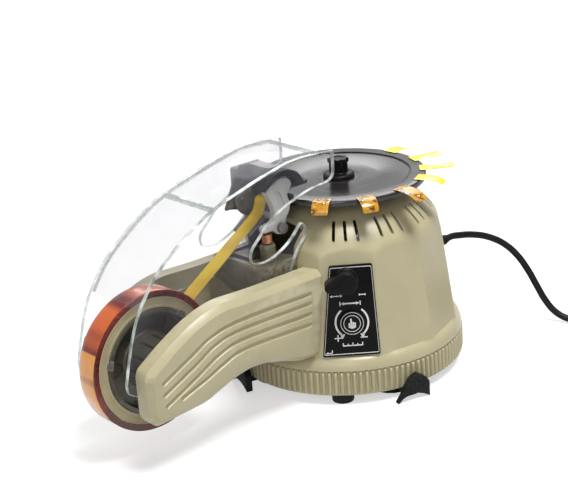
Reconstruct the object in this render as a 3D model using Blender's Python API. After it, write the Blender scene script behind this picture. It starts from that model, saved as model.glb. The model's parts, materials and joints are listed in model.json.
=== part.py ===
# Carousel tape cutting machine: ribbed round base, faceted housing, turntable, a tape reel held
# between two arms, the press and cutting head between them, and a clear hinged cover.
# Lengths are in metres and angles in degrees. Inside the frame empty, z starts at the skirt's lower
# edge, the turntable turns about the z axis, and the reel lies towards -x. Azimuths are measured
# from -y towards +x.

import math

import bmesh
import bpy
from mathutils import Matrix, Vector

# Clearances that every piece shares
seat_gap = 0.0003
running_gap = 0.0006
overrun = 0.004
merge_distance = 0.000001
# Cutters are turned a little, so that their corners miss the edges they cut
cutter_turn = 0.4
# Sides of large turned forms, of rods and of small pins
turned_sides = 36
rod_sides = 16
pin_sides = 10

# Base pan and its ribbed skirt
skirt_radius = 0.0878
skirt_height = 0.0200
skirt_wall = 0.0030
rib_count = 76
rib_depth = 0.0012
rib_foot = 0.0030
pan_floor_low = 0.0020
pan_floor_high = 0.0050

# Housing: a dome cut by twelve leaning facets, on a rounded shoulder
shoulder_rise = 0.0097
shoulder_step = 0.0006
facet_count = 12
facet_turn = -55.5
facet_foot_sink = 0.0019
facet_foot_inset = 0.0024
facet_top_drop = 0.0306
facet_lean = 0.0095
dome_top_height = 0.1340
dome_inset = 0.0054
dome_height = 0.0490
dome_cut_share = 0.845
dome_skin = 0.0016
shell_wall = 0.0026
dome_rows = 6
inner_rows = 3
inner_sides = 24
shoulder_rows = 3
shoulder_bulge_shares = (0.8, 1.3)

# Vent slots, three over each facet that has them
vent_facets = 8
vent_slots = 3
vent_pitch = 7.4
vent_width = 0.0024
vent_drop = 0.0085
vent_length = 0.0125
vent_depth = 0.0340

# Mouth in the dome behind the head
mouth_half_width = 0.0230
mouth_overlap = 0.0082
mouth_drop = 0.0330

# Control panel plate on the facet that faces the user, as shares of the facet's foot and length
panel_shares = ((-0.491, 0.034), (0.457, 0.034), (0.398, 0.929), (-0.303, 0.929))
panel_thickness = 0.0012
panel_corner = 0.0010

# Width knob, a pointer knob
width_knob_shares = (-0.043, 0.7875)
width_knob_radius = 0.0080
width_knob_skirt = 0.0092
width_knob_skirt_height = 0.0030
width_knob_height = 0.0140
pointer_reach = 0.0118
pointer_tip_radius = 0.0040
pointer_drop = 0.0022
knob_back_steps = 12
knob_tip_steps = 6
width_knob_crown = 0.0011
knob_stem_radius = 0.0030
knob_stem_length = 0.0062

# Length ring and the enter button inside it
length_ring_shares = (0.016, 0.3662)
length_ring_radius = 0.0091
length_ring_bore = 0.0072
length_ring_height = 0.0026
length_ring_floor = 0.0008
button_radius = 0.0068
button_proud = 0.0004
button_thickness = 0.0010
button_travel = 0.0008
button_stem_radius = 0.0020
ring_stem_radius = 0.0036

# Board behind the panel, with the potentiometer and the encoder
control_board_depth = 0.0150
control_board_thickness = 0.0016
control_board_shares = (0.679, 0.761)
control_post_radius = 0.0025
control_post_inset = 0.0036
control_body_radius = 0.0080
control_body_depth = 0.0062

# Turntable, its knob and its drive
disc_share = 0.82125
disc_lift = 0.0092
disc_rim = 0.0043
disc_rim_round = 0.0012
band_width = 0.0115
band_step = 0.0009
dish_depth = 0.0022
dish_flat_radius = 0.0300
disc_thickness = 0.0022
disc_sides = 44
spindle_radius = 0.0040
spindle_rise = 0.0068
spindle_tail = 0.0050
knob_base_radius = 0.0119
knob_base_height = 0.0032
knob_radius = 0.0071
knob_height = 0.0145
knob_lobes = 8
knob_lobe_depth = 0.0009
knob_cap_height = 0.0034
knob_crown = 0.0010
gear_distance_share = 0.527
gear_teeth = 48
gear_thickness = 0.0060
gear_drop = 0.0300
pinion_teeth = 16
tooth_root_share = 1.25
tooth_foot_share = 0.331
tooth_tip_share = 0.101
bearing_flange_radius = 0.0200
bearing_flange = 0.0026
bearing_radius = 0.0080

# Pieces of tape waiting on the turntable's rim
piece_azimuths = (-54.0, -26.0, 2.0, 30.0, 51.0, 73.0, 99.0)
piece_droops = (84.0, 78.0, 34.0, 8.0, -24.0, -14.0, 6.0)
piece_lengths = (0.0130, 0.0140, 0.0200, 0.0210, 0.0240, 0.0220, 0.0160)
piece_width = 0.0130
piece_hold = 0.0052
piece_film = 0.0004
piece_steps = 5

# Reel: core, film, hub and shaft
reel_out = 0.1240
reel_rise_share = 0.3117
tape_width = 0.0169
film_radius = 0.0508
film_depth = 0.0050
core_wall = 0.0077
hub_wall = 0.0030
hub_web = 0.0030
hub_boss_radius = 0.0195
hub_window_radius = 0.0055
hub_window_count = 6
shaft_radius = 0.0040
shaft_socket = 0.0070
catch_count = 3
catch_turn = 166.0
catch_width = 0.0060
catch_lip = 0.0016
catch_thickness = 0.0012

# Clear cover: two side walls, a front panel and a rear panel
cover_side_share = 0.2454
cover_wall = 0.0030
cover_panel = 0.0030
cover_nose_share = 0.752
cover_drop_share = 0.3622
cover_overlap = 0.0347
cover_rise = 0.0333
cover_front_shares = (3.876, 2.687)
cover_hook_height_share = 2.7857
cover_bend_shares = (0.16, 0.45)
cover_top_shares = (
    (1.000, 0.985), (0.919, 0.996), (0.797, 1.000), (0.650, 0.963), (0.548, 0.926),
    (0.446, 0.886), (0.355, 0.830), (0.253, 0.740), (0.157, 0.630), (0.081, 0.487),
    (0.045, 0.374), (0.020, 0.256), (0.000, 0.147))
cover_tip_shares = ((0.004, 0.103), (0.022, 0.078), (0.080, 0.040), (0.190, 0.000), (0.290, 0.050))
cover_skirt_shares = ((0.360, 0.240), (0.455, 0.322), (0.745, 0.325), (0.768, 0.345))
cover_hook_shares = (
    (0.768, 0.421), (0.790, 0.483), (0.815, 0.527), (0.846, 0.580), (0.842, 0.630), (0.822, 0.650))
cover_notch_shares = (
    (0.785, 0.599), (0.745, 0.557), (0.688, 0.522), (0.636, 0.511), (0.598, 0.521),
    (0.585, 0.533), (0.582, 0.569), (0.593, 0.603), (0.629, 0.650), (0.668, 0.701),
    (0.743, 0.759), (0.802, 0.785), (0.887, 0.815), (0.953, 0.820), (0.982, 0.832), (0.999, 0.870))
cover_seam_share = 0.446
cover_mouth_share = 0.086
cover_back_share = 0.945

# Arms that carry the reel
arm_clearance = 0.0010
arm_outer_share = 0.6061
arm_bevel = 0.0040
arm_nose = 0.0318
arm_root_depth = 0.0200
arm_drop = 0.0294
arm_height = 0.0695
arm_outline_shares = (
    (0.030, 0.000), (0.000, 0.100), (0.000, 0.520), (0.012, 0.586), (0.115, 0.738),
    (0.232, 0.882), (0.330, 0.962), (0.424, 1.000), (0.620, 0.975), (1.000, 0.964),
    (1.000, 0.014), (0.913, 0.014), (0.833, 0.036), (0.746, 0.108), (0.635, 0.180),
    (0.560, 0.194), (0.474, 0.165), (0.387, 0.100), (0.307, 0.036), (0.133, 0.010))
groove_radius = 0.0011
groove_sides = 4
groove_shares = (
    ((0.898, 0.750), (0.505, 0.770), (0.344, 0.719), (0.232, 0.604), (0.077, 0.440)),
    ((0.898, 0.647), (0.505, 0.669), (0.362, 0.619), (0.245, 0.489), (0.077, 0.316)),
    ((0.895, 0.532), (0.517, 0.561), (0.381, 0.504), (0.257, 0.374), (0.084, 0.194)),
    ((0.892, 0.417), (0.529, 0.453), (0.399, 0.388), (0.307, 0.309), (0.165, 0.209)))

# Head places: distances out from the turntable's rim, and heights above or below its top
head_drop = 0.0392
head_out = 0.0423
head_length = 0.0440
head_height = 0.0340
head_outline_shares = (
    (0.000, 0.588), (0.080, 1.000), (1.000, 1.000), (1.000, 0.000), (0.409, 0.000))
head_corner = 0.0016
spring_out = 0.0223
spring_side_share = 0.644
spring_boss_radius = 0.0060
spring_boss_height = 0.0128

# Bracket and guide plate, on the far side of the tape
bracket_clearance = 0.0036
bracket_thickness = 0.0020
bracket_out = 0.0343
bracket_length = 0.0430
bracket_height = 0.0643
bracket_outline_shares = (
    (0.000, 0.000), (0.558, 0.000), (0.721, 0.120), (0.721, 0.636), (0.977, 0.667), (1.000, 0.835),
    (0.791, 0.928), (0.791, 1.000), (0.395, 1.000), (0.233, 0.866), (0.000, 0.555))
bracket_foot_length = 0.0210
bracket_foot_share = 0.833
flange_out = 0.0103
flange_length = 0.0097
flange_width = 0.0222
flange_thickness = 0.0014
guide_thickness = 0.0020
guide_out = 0.0273
guide_drop = 0.0127
guide_length = 0.0330
guide_height = 0.0220
guide_outline_shares = (
    (0.000, 0.705), (0.030, 0.386), (0.182, 0.091), (0.394, 0.000), (0.712, 0.045), (0.712, 0.682),
    (1.000, 0.727), (0.970, 0.932), (0.545, 1.000))
guide_table_shares = ((-0.091, -0.305), (0.318, 0.059))
guide_table_thickness = 0.0018
guide_screw_shares = ((0.212, 0.614), (0.455, 0.818))
guide_screw_radius = 0.0022
guide_screw_head = 0.0008

# Tape web from the reel to the blade, and the feed roller under its end
web_film = 0.0004
web_peel_angle = 39.0
web_out = 0.0383
web_length = 0.0350
web_drop = 0.0234
web_height = 0.0254
web_shares = (
    (-0.286, -0.251), (0.000, 0.000), (0.557, 0.472), (0.703, 0.717), (0.749, 0.894), (0.834, 0.984),
    (1.000, 1.000))
feed_out = 0.0073
feed_drop = 0.0042
feed_radius = 0.0050
feed_axle_radius = 0.0016
feed_axle_proud = 0.0014
feed_flutes = 14
feed_flute_depth = 0.0005

# Press lever, its pin, spring and black cap with the press roller
lever_out = 0.0113
lever_drop = 0.0167
lever_clearance = 0.0056
lever_thickness = 0.0060
lever_tail = 0.0160
lever_length = 0.0288
lever_low = 0.0055
lever_height = 0.0420
lever_tail_shares = ((0.000, 0.226), (0.000, 0.114), (0.330, 0.114))
lever_outline_shares = (
    (0.747, 0.048), (0.729, 0.238), (0.896, 0.381), (0.924, 0.524), (0.826, 0.667), (1.000, 0.798),
    (0.993, 0.905), (0.833, 0.983), (0.608, 1.000), (0.382, 0.940), (0.139, 0.833), (0.312, 0.619),
    (0.410, 0.429), (0.365, 0.257), *lever_tail_shares, (0.434, 0.024), (0.608, 0.000))
lever_corner = 0.0022
lever_pin_radius = 0.0025
lever_pin_head_radius = 0.0040
lever_pin_head = 0.0034
cap_proud = 0.0020
cap_width = 0.0100
cap_front = 0.0185
cap_length = 0.0435
cap_low = 0.0270
cap_height = 0.0147
cap_outline_shares = (
    (0.000, 0.374), (0.241, 0.816), (0.437, 1.000), (0.655, 0.959), (0.851, 0.660), (1.000, 0.000),
    (0.805, 0.068), (0.747, 0.429), (0.618, 0.667), (0.455, 0.714), (0.301, 0.544), (0.115, 0.204))
finger_far = 0.0045
finger_in = 0.0023
finger_length = 0.0153
finger_thickness = 0.0026
cap_cheek = 0.0015
cap_cheek_drop = 0.0069
cap_cheek_half_width = 0.0030
press_roller_radius = 0.0040
press_roller_rise = 0.0004
press_axle_radius = 0.0012
spring_wire = 0.0008
spring_radius = 0.0034
spring_turns = 6
spring_steps = 8

# Cutter: a blade on a carrier that slides on two pins, and its solenoid
blade_out = 0.0011
blade_thickness = 0.0007
blade_side = 0.0008
blade_rise = 0.0034
blade_height = 0.0134
blade_teeth = 12
blade_tooth_depth = 0.0012
carrier_depth = 0.0066
carrier_rise = 0.0079
carrier_height = 0.0113
guide_pin_share = 0.6
guide_pin_radius = 0.0012
guide_pin_reach = 0.0190
solenoid_out = 0.0183
solenoid_length = 0.0180
solenoid_rise = 0.0068
solenoid_height = 0.0150
solenoid_clearance = 0.0019
solenoid_round = 0.0015

# Feet: four rubber feet and four suction cups with release tabs
foot_height = 0.0070
foot_radius = 0.0085
foot_inset = 0.0103
foot_turn = -47.0
foot_count = 4
cup_radius = 0.0160
cup_ring_share = 0.729
cup_turn = -14.0
cup_neck_radius = 0.0050
cup_lip = 0.0012
cup_crown_share = 0.72
tab_proud = 0.0087
tab_depth = 0.0050
tab_half_width = 0.0135
tab_height = 0.0200
tab_outline_shares = (
    (-1.00, 0.00), (-0.66, 0.17), (-0.22, 0.26), (0.22, 0.24), (0.62, 0.15), (1.00, 0.00),
    (1.00, 0.60), (0.78, 0.80), (0.30, 1.00), (-0.16, 0.86), (-0.48, 0.55), (-0.70, 0.28))
tab_neck_width = 0.0080
tab_neck_height = 0.0034

# Gear motor under the pinion, with its radii as shares of the housing's top
motor_azimuth = 90.0
motor_lift = 0.0090
motor_share = 0.250
gearbox_share = 0.277
gearbox_length = 0.0200
gearbox_drop = 0.0200
motor_plate_share = 0.395
motor_plate_thickness = 0.0020
motor_shaft_radius = 0.0030
motor_post_radius = 0.0035
motor_post_share = 0.336
motor_post_count = 3

# Main board with its parts and the transformer, as shares of the pan's inner radius
board_shares = (-0.389, 0.094)
board_half_shares = (0.401, 0.342)
board_thickness = 0.0016
board_lift = 0.0070
board_post_radius = 0.0030
board_post_inset = 0.0050
capacitor_count = 3
capacitor_pitch = 0.0130
capacitor_radius = 0.0050
capacitor_height = 0.0120
chip_length = 0.0180
chip_width = 0.0070
chip_height = 0.0030
connector_length = 0.0200
connector_width = 0.0060
connector_height = 0.0080
transformer_offset = 0.0140
transformer_length = 0.0380
transformer_width = 0.0240
transformer_height = 0.0320
winding_length = 0.0220
winding_width = 0.0320
winding_height = 0.0200

# Power switch on a rear facet
switch_facet = 6
switch_up_share = 0.2625
switch_half_width = 0.0075
switch_half_height = 0.0105
switch_flange = 0.0014
switch_depth = 0.0120
switch_wall = 0.0018
switch_inset = 0.0032
rocker_proud = 0.0028
rocker_outline_shares = (
    (-1.00, 0.80), (0.00, 0.55), (1.00, 0.80), (0.90, -0.66), (0.35, -1.51), (-0.35, -1.51), (-0.90, -0.66))
rocker_angle = 14.0

# Cord: relief, free lead, coil, tie and plug
cord_radius = 0.00275
cord_azimuth = 79.5
cord_up_share = 0.479
relief_length = 0.0200
relief_root_radius = 0.0058
relief_tip_radius = 0.0036
relief_collar_radius = 0.0085
relief_collar = 0.0016
cord_route_shares = (
    (0.107, 0.018, 1.004), (0.283, 0.062, 0.972), (0.439, 0.121, 0.906), (0.541, 0.196, 0.809),
    (0.596, 0.276, 0.682), (0.624, 0.350, 0.527), (0.639, 0.419, 0.357), (0.654, 0.489, 0.194),
    (0.687, 0.563, 0.071), (0.736, 0.642, 0.012), (0.799, 0.729, 0.001), (0.870, 0.821, 0.002),
    (0.936, 0.903, 0.009))
lead_steps = 2
coil_out = 0.1285
coil_forward = 0.0275
coil_turn = 212.7
coil_outer_radius = 0.0410
coil_turns = 6
coil_pitch = 0.0060
coil_lift = 0.0015
coil_steps = 12
coil_tail = 0.0340
tie_turn = 332.7
tie_band = 0.0008
tie_half_width = 0.0050
plug_length = 0.0340
plug_corner = 0.0024
plug_half_width = 0.0125
plug_outline_shares = (
    (0.000, -0.352), (0.206, -1.000), (1.000, -1.000), (1.000, 1.000), (0.206, 1.000), (0.000, 0.352))
plug_tail = 0.0120
plug_tail_start = 0.0030
plug_tail_end = 0.0041
pin_radius = 0.0024
pin_length = 0.0190
pin_spread = 0.0093

# Colour, roughness and metallic value of each finish
finishes = {
    "warm_grey_plastic": ((0.56, 0.52, 0.41), 0.38, 0.0),
    "dark_disc_plastic": ((0.075, 0.068, 0.070), 0.30, 0.0),
    "black_plastic": ((0.012, 0.012, 0.013), 0.35, 0.0),
    "black_rubber": ((0.015, 0.015, 0.016), 0.75, 0.0),
    "panel_black": ((0.010, 0.010, 0.011), 0.25, 0.0),
    "light_grey_plastic": ((0.50, 0.50, 0.47), 0.40, 0.0),
    "dark_grey_plastic": ((0.14, 0.14, 0.145), 0.45, 0.0),
    "core_plastic": ((0.42, 0.40, 0.34), 0.50, 0.0),
    "amber_film": ((0.60, 0.13, 0.02), 0.12, 0.0),
    "clear_acrylic": ((0.88, 0.92, 0.90), 0.05, 0.0),
    "steel": ((0.60, 0.60, 0.62), 0.32, 1.0),
    "brass": ((0.75, 0.52, 0.22), 0.30, 1.0),
    "copper_spring": ((0.70, 0.36, 0.22), 0.30, 1.0),
    "board_green": ((0.04, 0.16, 0.08), 0.50, 0.0),
}


def clear_objects():
    for old in list(bpy.data.objects):
        bpy.data.objects.remove(old)


def on_ring(radius, azimuth, height):
    angle = math.radians(azimuth)
    return Vector((radius * math.sin(angle), -radius * math.cos(angle), height))


def add_empty(name, carrier=None, matrix=None):
    empty = bpy.data.objects.new(name, None)
    bpy.context.scene.collection.objects.link(empty)
    empty.parent = carrier
    if matrix is not None:
        empty.matrix_local = matrix
    return empty


def make_material(name, finish):
    colour, roughness, metallic = finishes[finish]
    material = bpy.data.materials.new(name)
    material.use_nodes = True
    shader = material.node_tree.nodes["Principled BSDF"]
    shader.inputs["Base Color"].default_value = (*colour, 1)
    shader.inputs["Roughness"].default_value = roughness
    shader.inputs["Metallic"].default_value = metallic
    material.diffuse_color = (*colour, 1)
    return material


def add_object(name, shape, carrier):
    bmesh.ops.recalc_face_normals(shape, faces=shape.faces)
    mesh = bpy.data.meshes.new(name)
    shape.to_mesh(mesh)
    shape.free()
    piece = bpy.data.objects.new(name, mesh)
    bpy.context.scene.collection.objects.link(piece)
    piece.parent = carrier
    return piece


def add_piece(name, shape, finish, carrier, smooth_angle=32.0):
    piece = add_object(name, shape, carrier)
    piece.data.materials.append(make_material(name + "_finish", finish))
    piece.data.shade_smooth()
    piece.data.set_sharp_from_angle(angle=math.radians(smooth_angle))
    return piece


def add_cutter(name, shape, carrier):
    cutter = add_object(name, shape, carrier)
    cutter.hide_render = True
    cutter.display_type = "WIRE"
    return cutter


def shape_with(piece, tool, operation="DIFFERENCE"):
    change = piece.modifiers.new(tool.name, "BOOLEAN")
    change.operation = operation
    change.object = tool


def soften(piece, width, segments=2, angle=40.0):
    change = piece.modifiers.new("soft_edges", "BEVEL")
    change.width = width
    change.segments = segments
    change.limit_method = "ANGLE"
    change.angle_limit = math.radians(angle)


def revolved(profile, steps, turn=0.0):
    shape = bmesh.new()
    points = [shape.verts.new((radius, 0, height)) for radius, height in profile]
    edges = [shape.edges.new(pair) for pair in zip(points, points[1:])]
    if profile[0][0] > 0 or profile[-1][0] > 0:
        edges.append(shape.edges.new((points[-1], points[0])))
    bmesh.ops.spin(shape, geom=points + edges, cent=(0, 0, 0), axis=(0, 0, 1),
                   angle=math.tau, steps=steps, use_merge=True)
    bmesh.ops.remove_doubles(shape, verts=shape.verts, dist=merge_distance)
    bmesh.ops.rotate(shape, verts=shape.verts, cent=(0, 0, 0),
                     matrix=Matrix.Rotation(math.radians(turn), 3, "Z"))
    return shape


def moved(shape, place):
    bmesh.ops.translate(shape, verts=shape.verts, vec=place)
    return shape


def turned(shape, matrix):
    bmesh.ops.transform(shape, verts=shape.verts, matrix=matrix)
    return shape


def spread(outline, level, axes):
    # Outline points in the plane that the two axes name, at a level along the third axis
    order = {"xy": (0, 1, 2), "xz": (0, 2, 1), "yz": (1, 2, 0)}[axes]
    for along, across in outline:
        place = [0, 0, 0]
        place[order[0]], place[order[1]], place[order[2]] = along, across, level
        yield Vector(place)


def extruded(outline, low, high, axes="xz"):
    shape = bmesh.new()
    face = shape.faces.new([shape.verts.new(p) for p in spread(outline, low, axes)])
    grown = bmesh.ops.extrude_face_region(shape, geom=[face])
    step = {"xy": Vector((0, 0, 1)), "xz": Vector((0, 1, 0)), "yz": Vector((1, 0, 0))}[axes]
    new_points = [g for g in grown["geom"] if isinstance(g, bmesh.types.BMVert)]
    bmesh.ops.translate(shape, verts=new_points, vec=step * (high - low))
    return shape


def box(low, high):
    shape = bmesh.new()
    low, high = Vector(low), Vector(high)
    size = high - low
    bmesh.ops.create_cube(shape, size=1, matrix=Matrix.Translation((low + high) / 2)
                          @ Matrix.Diagonal((*size, 1)))
    return shape


def rod(start, end, radius, sides=24, end_radius=None):
    start, end = Vector(start), Vector(end)
    run = end - start
    shape = bmesh.new()
    aim = Vector((0, 0, 1)).rotation_difference(run).to_matrix().to_4x4()
    bmesh.ops.create_cone(shape, cap_ends=True, segments=sides, radius1=radius,
                          radius2=radius if end_radius is None else end_radius, depth=run.length,
                          matrix=Matrix.Translation((start + end) / 2) @ aim)
    return shape


def together(*shapes):
    # Several shapes in one mesh, which stay separate bodies
    whole = bmesh.new()
    for shape in shapes:
        carrier = bpy.data.meshes.new("carrier")
        bmesh.ops.recalc_face_normals(shape, faces=shape.faces)
        shape.to_mesh(carrier)
        shape.free()
        whole.from_mesh(carrier)
        bpy.data.meshes.remove(carrier)
    return whole


def through(points, steps, closed=False):
    # A smooth curve through the points, with a number of steps between each pair
    points = [Vector(p) for p in points]
    count = len(points)
    last = count if closed else count - 1
    curve = []
    for i in range(last):
        a = points[(i - 1) % count] if closed or i > 0 else points[0] * 2 - points[1]
        b, c = points[i], points[(i + 1) % count]
        d = points[(i + 2) % count] if closed or i + 2 < count else c * 2 - b
        for k in range(steps):
            t = k / steps
            curve.append((b * 2 + (c - a) * t + (a * 2 - b * 5 + c * 4 - d) * t ** 2
                          + (b * 3 - a - c * 3 + d) * t ** 3) / 2)
    if not closed:
        curve.append(points[-1])
    return curve


def filleted(outline, radius, steps=3):
    # The outline with each corner rounded, by less where its sides are short
    points = [Vector(p) for p in outline]
    rounded = []
    for before, corner, after in zip(points[-1:] + points[:-1], points, points[1:] + points[:1]):
        towards, onwards = before - corner, after - corner
        reach = min(radius, towards.length * 0.45, onwards.length * 0.45)
        start = corner + towards.normalized() * reach
        end = corner + onwards.normalized() * reach
        for k in range(steps + 1):
            t = k / steps
            rounded.append(start * (1 - t) ** 2 + corner * 2 * t * (1 - t) + end * t ** 2)
    return rounded


def swept(points, radius, sides):
    # A tube along the points, used for channels
    shape = bmesh.new()
    points = [Vector(p) for p in points]
    rings = []
    side = None
    for i, point in enumerate(points):
        ahead = (points[min(i + 1, len(points) - 1)] - points[max(i - 1, 0)]).normalized()
        side = ahead.orthogonal() if side is None else side - ahead * side.dot(ahead)
        side.normalize()
        other = ahead.cross(side)
        rings.append([shape.verts.new(point + (side * math.cos(math.tau * k / sides)
                                               + other * math.sin(math.tau * k / sides)) * radius)
                      for k in range(sides)])
    for ring, following in zip(rings, rings[1:]):
        for k in range(sides):
            shape.faces.new((ring[k], ring[k - 1], following[k - 1], following[k]))
    shape.faces.new(rings[0])
    shape.faces.new(rings[-1])
    return shape


def add_tube(name, points, radius, finish, carrier, detail):
    curve = bpy.data.curves.new(name, "CURVE")
    curve.dimensions = "3D"
    curve.bevel_depth = radius
    curve.bevel_resolution = detail
    curve.use_fill_caps = True
    spline = curve.splines.new("POLY")
    spline.points.add(len(points) - 1)
    for slot, point in zip(spline.points, points):
        slot.co = (*point, 1)
    curve.materials.append(make_material(name + "_finish", finish))
    tube = bpy.data.objects.new(name, curve)
    bpy.context.scene.collection.objects.link(tube)
    tube.parent = carrier
    return tube


def from_shares(shares, left, low, length, height):
    return [(left + along * length, low + up * height) for along, up in shares]


# Sizes that follow from the values above
shoulder_radius = skirt_radius + shoulder_step
shoulder_height = skirt_height + shoulder_rise
facet_step = 360 / facet_count
facet_foot_height = shoulder_height - facet_foot_sink
facet_foot_radius = skirt_radius - facet_foot_inset
facet_top_height = dome_top_height - facet_top_drop
facet_top_radius = facet_foot_radius - facet_lean
facet_slope = facet_lean / (facet_top_height - facet_foot_height)
facet_width = 2 * facet_foot_radius * math.sin(math.pi / facet_count)
facet_length = math.hypot(facet_top_height - facet_foot_height, facet_lean)
flat_share = math.cos(math.pi / facet_count)
dome_radius = facet_foot_radius - dome_inset
dome_centre_height = dome_top_height - dome_height
dome_rise = dome_height / dome_cut_share
vent_high = dome_top_height - vent_drop
vent_low = vent_high - vent_length
mouth_low = dome_top_height - mouth_drop
panel_top_face = seat_gap + panel_thickness
width_knob_across = width_knob_shares[0] * facet_width
width_knob_up = width_knob_shares[1] * facet_length
length_across = length_ring_shares[0] * facet_width
length_up = length_ring_shares[1] * facet_length
control_board_width = control_board_shares[0] * facet_width
control_board_height = control_board_shares[1] * facet_length
switch_up = switch_up_share * facet_length
cord_up = cord_up_share * facet_length
table_level = -foot_height
foot_top = (pan_floor_low + pan_floor_high) / 2
foot_ring = skirt_radius - foot_inset
foot_azimuths = [foot_turn + 360 / foot_count * k for k in range(foot_count)]
cup_ring = skirt_radius * cup_ring_share
cup_azimuths = [cup_turn + 360 / foot_count * k for k in range(foot_count)]
tab_reach = skirt_radius + tab_proud
pan_inner = skirt_radius - skirt_wall
board_x, board_y = (share * pan_inner for share in board_shares)
board_half_length, board_half_width = (share * pan_inner for share in board_half_shares)
transformer_y = board_y - transformer_offset
disc_radius = dome_radius * disc_share
mouth_back = mouth_overlap - disc_radius
disc_top = dome_top_height + disc_lift
disc_bore = spindle_radius + seat_gap
gear_low = dome_top_height - gear_drop
gear_distance = gear_distance_share * facet_top_radius
gear_module = 2 * gear_distance / (gear_teeth + pinion_teeth)
motor_low = pan_floor_high + motor_lift
gearbox_top = gear_low - gearbox_drop
can_top = gearbox_top - gearbox_length
motor_radius = motor_share * facet_top_radius
gearbox_radius = gearbox_share * facet_top_radius
motor_plate_radius = motor_plate_share * facet_top_radius
motor_post_ring = motor_post_share * facet_top_radius
reel_x = -disc_radius - reel_out
reel_z = skirt_height + reel_rise_share * (disc_top - skirt_height)
cover_half_width = tape_width / 2 + skirt_radius * cover_side_share
hub_boss_reach = cover_half_width - cover_wall - running_gap
core_radius = film_radius - film_depth
core_bore = core_radius - core_wall
cover_nose = film_radius * cover_nose_share
cover_drop = film_radius * cover_drop_share
cover_tip = reel_x - cover_nose
cover_back = cover_overlap - disc_radius
cover_front_length, cover_front_height = (share * film_radius for share in cover_front_shares)
cover_hook_height = dome_height * cover_hook_height_share
cover_length = cover_back - cover_tip
cover_high = disc_top + cover_rise
arm_inner = cover_half_width + arm_clearance
arm_outer = facet_top_radius * arm_outer_share
arm_tip = reel_x - arm_nose
arm_root = arm_root_depth - dome_radius
arm_length = arm_root - arm_tip
arm_low = reel_z - arm_drop
head_half_width = cover_half_width - cover_wall - running_gap
head_left = -disc_radius - head_out
head_top = disc_top - head_drop
spring_x = -disc_radius - spring_out
spring_y = -head_half_width * spring_side_share
spring_boss_top = head_top + spring_boss_height
bracket_foot_width = head_half_width * bracket_foot_share
bracket_near = tape_width / 2 + bracket_clearance
bracket_far = bracket_near + bracket_thickness
bracket_left = -disc_radius - bracket_out
bracket_low = head_top + seat_gap
bracket_high = bracket_low + bracket_height
flange_low = bracket_high - seat_gap - flange_thickness
solenoid_depth = cover_half_width - cover_wall - bracket_far - solenoid_clearance
guide_far = bracket_near - seat_gap
guide_near = guide_far - guide_thickness
lever_x = -disc_radius - lever_out
lever_z = disc_top - lever_drop
lever_far = -tape_width / 2 - lever_clearance
lever_near = lever_far - lever_thickness
feed_x = -disc_radius - feed_out
feed_z = disc_top - feed_drop
blade_front = -disc_radius - blade_out - blade_thickness
blade_half_width = tape_width / 2 + blade_side
blade_low = disc_top + blade_rise
carrier_back = blade_front - seat_gap
carrier_low = blade_low + carrier_rise
guide_pin_x = carrier_back - carrier_depth / 2
guide_pin_y = blade_half_width * guide_pin_share
press_roller_height = disc_top + press_roller_rise + press_roller_radius
press_roller_x = finger_in - disc_radius + finger_length / 2
panel_middle = (width_knob_up + length_up) / 2
coil_x = skirt_radius + coil_out
coil_y = -skirt_radius - coil_forward


def corner_radius(height):
    return facet_foot_radius - facet_slope * (height - facet_foot_height)


def flat_radius(height):
    return corner_radius(height) * flat_share


def facet_frame(index):
    # Local x runs across the facet, y up along it and z out of it, from the middle of its foot
    azimuth = math.radians(facet_turn + facet_step * (index + 0.5))
    tilt = math.atan(facet_slope * flat_share)
    level = Vector((math.sin(azimuth), -math.cos(azimuth), 0))
    out = level * math.cos(tilt) + Vector((0, 0, math.sin(tilt)))
    across = Vector((math.cos(azimuth), math.sin(azimuth), 0))
    up = out.cross(across)
    place = level * flat_radius(facet_foot_height) + Vector((0, 0, facet_foot_height))
    frame = Matrix((across, up, out)).transposed().to_4x4()
    frame.translation = place
    return frame


def facet_at(azimuth):
    return math.floor((azimuth - facet_turn) / facet_step)


def dome_line(grow):
    # The dome's outline from its widest ring to its flat top
    top_angle = math.asin((dome_top_height - dome_centre_height) / dome_rise)
    for k in range(dome_rows + 1):
        angle = top_angle * k / dome_rows
        yield ((dome_radius + grow) * math.cos(angle),
               dome_centre_height + (dome_rise + grow) * math.sin(angle))


def shoulder_line(grow):
    drop = shoulder_height - skirt_height - seat_gap
    inner = flat_radius(shoulder_height) - dome_skin
    width = shoulder_radius - inner
    out_power, up_power = shoulder_bulge_shares
    for k in range(shoulder_rows + 1):
        angle = math.pi / 2 * k / shoulder_rows
        yield (inner + width * math.cos(angle) ** out_power + grow,
               skirt_height + seat_gap + drop * math.sin(angle) ** up_power + grow)


def housing_form(name, grow, carrier, finish=None):
    # The housing's outer form: a dome, cut to twelve facets, joined to the shoulder ring
    foot = skirt_height + seat_gap
    dome = list(dome_line(grow))
    profile = [(0, shoulder_height - dome_skin),
               (corner_radius(facet_foot_height) + dome_skin + grow, shoulder_height - dome_skin)]
    profile += dome + [(0, dome[-1][1])]
    shape = revolved(profile, turned_sides, facet_turn + 180 / turned_sides)
    form = add_piece(name, shape, finish, carrier) if finish else add_cutter(name, shape, carrier)
    low, high = foot - overrun, dome_top_height + overrun
    facets = rod((0, 0, low), (0, 0, high), corner_radius(low) + grow, facet_count,
                 corner_radius(high) + grow)
    turn = Matrix.Rotation(math.radians(facet_turn - 90), 4, "Z")
    shape_with(form, add_cutter(name + "_facets", turned(facets, turn), carrier), "INTERSECT")
    ring = list(shoulder_line(grow))
    ring_shape = revolved([(0, foot)] + ring + [(0, ring[-1][1])], turned_sides)
    shape_with(form, add_cutter(name + "_shoulder", ring_shape, carrier), "UNION")
    return form


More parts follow.
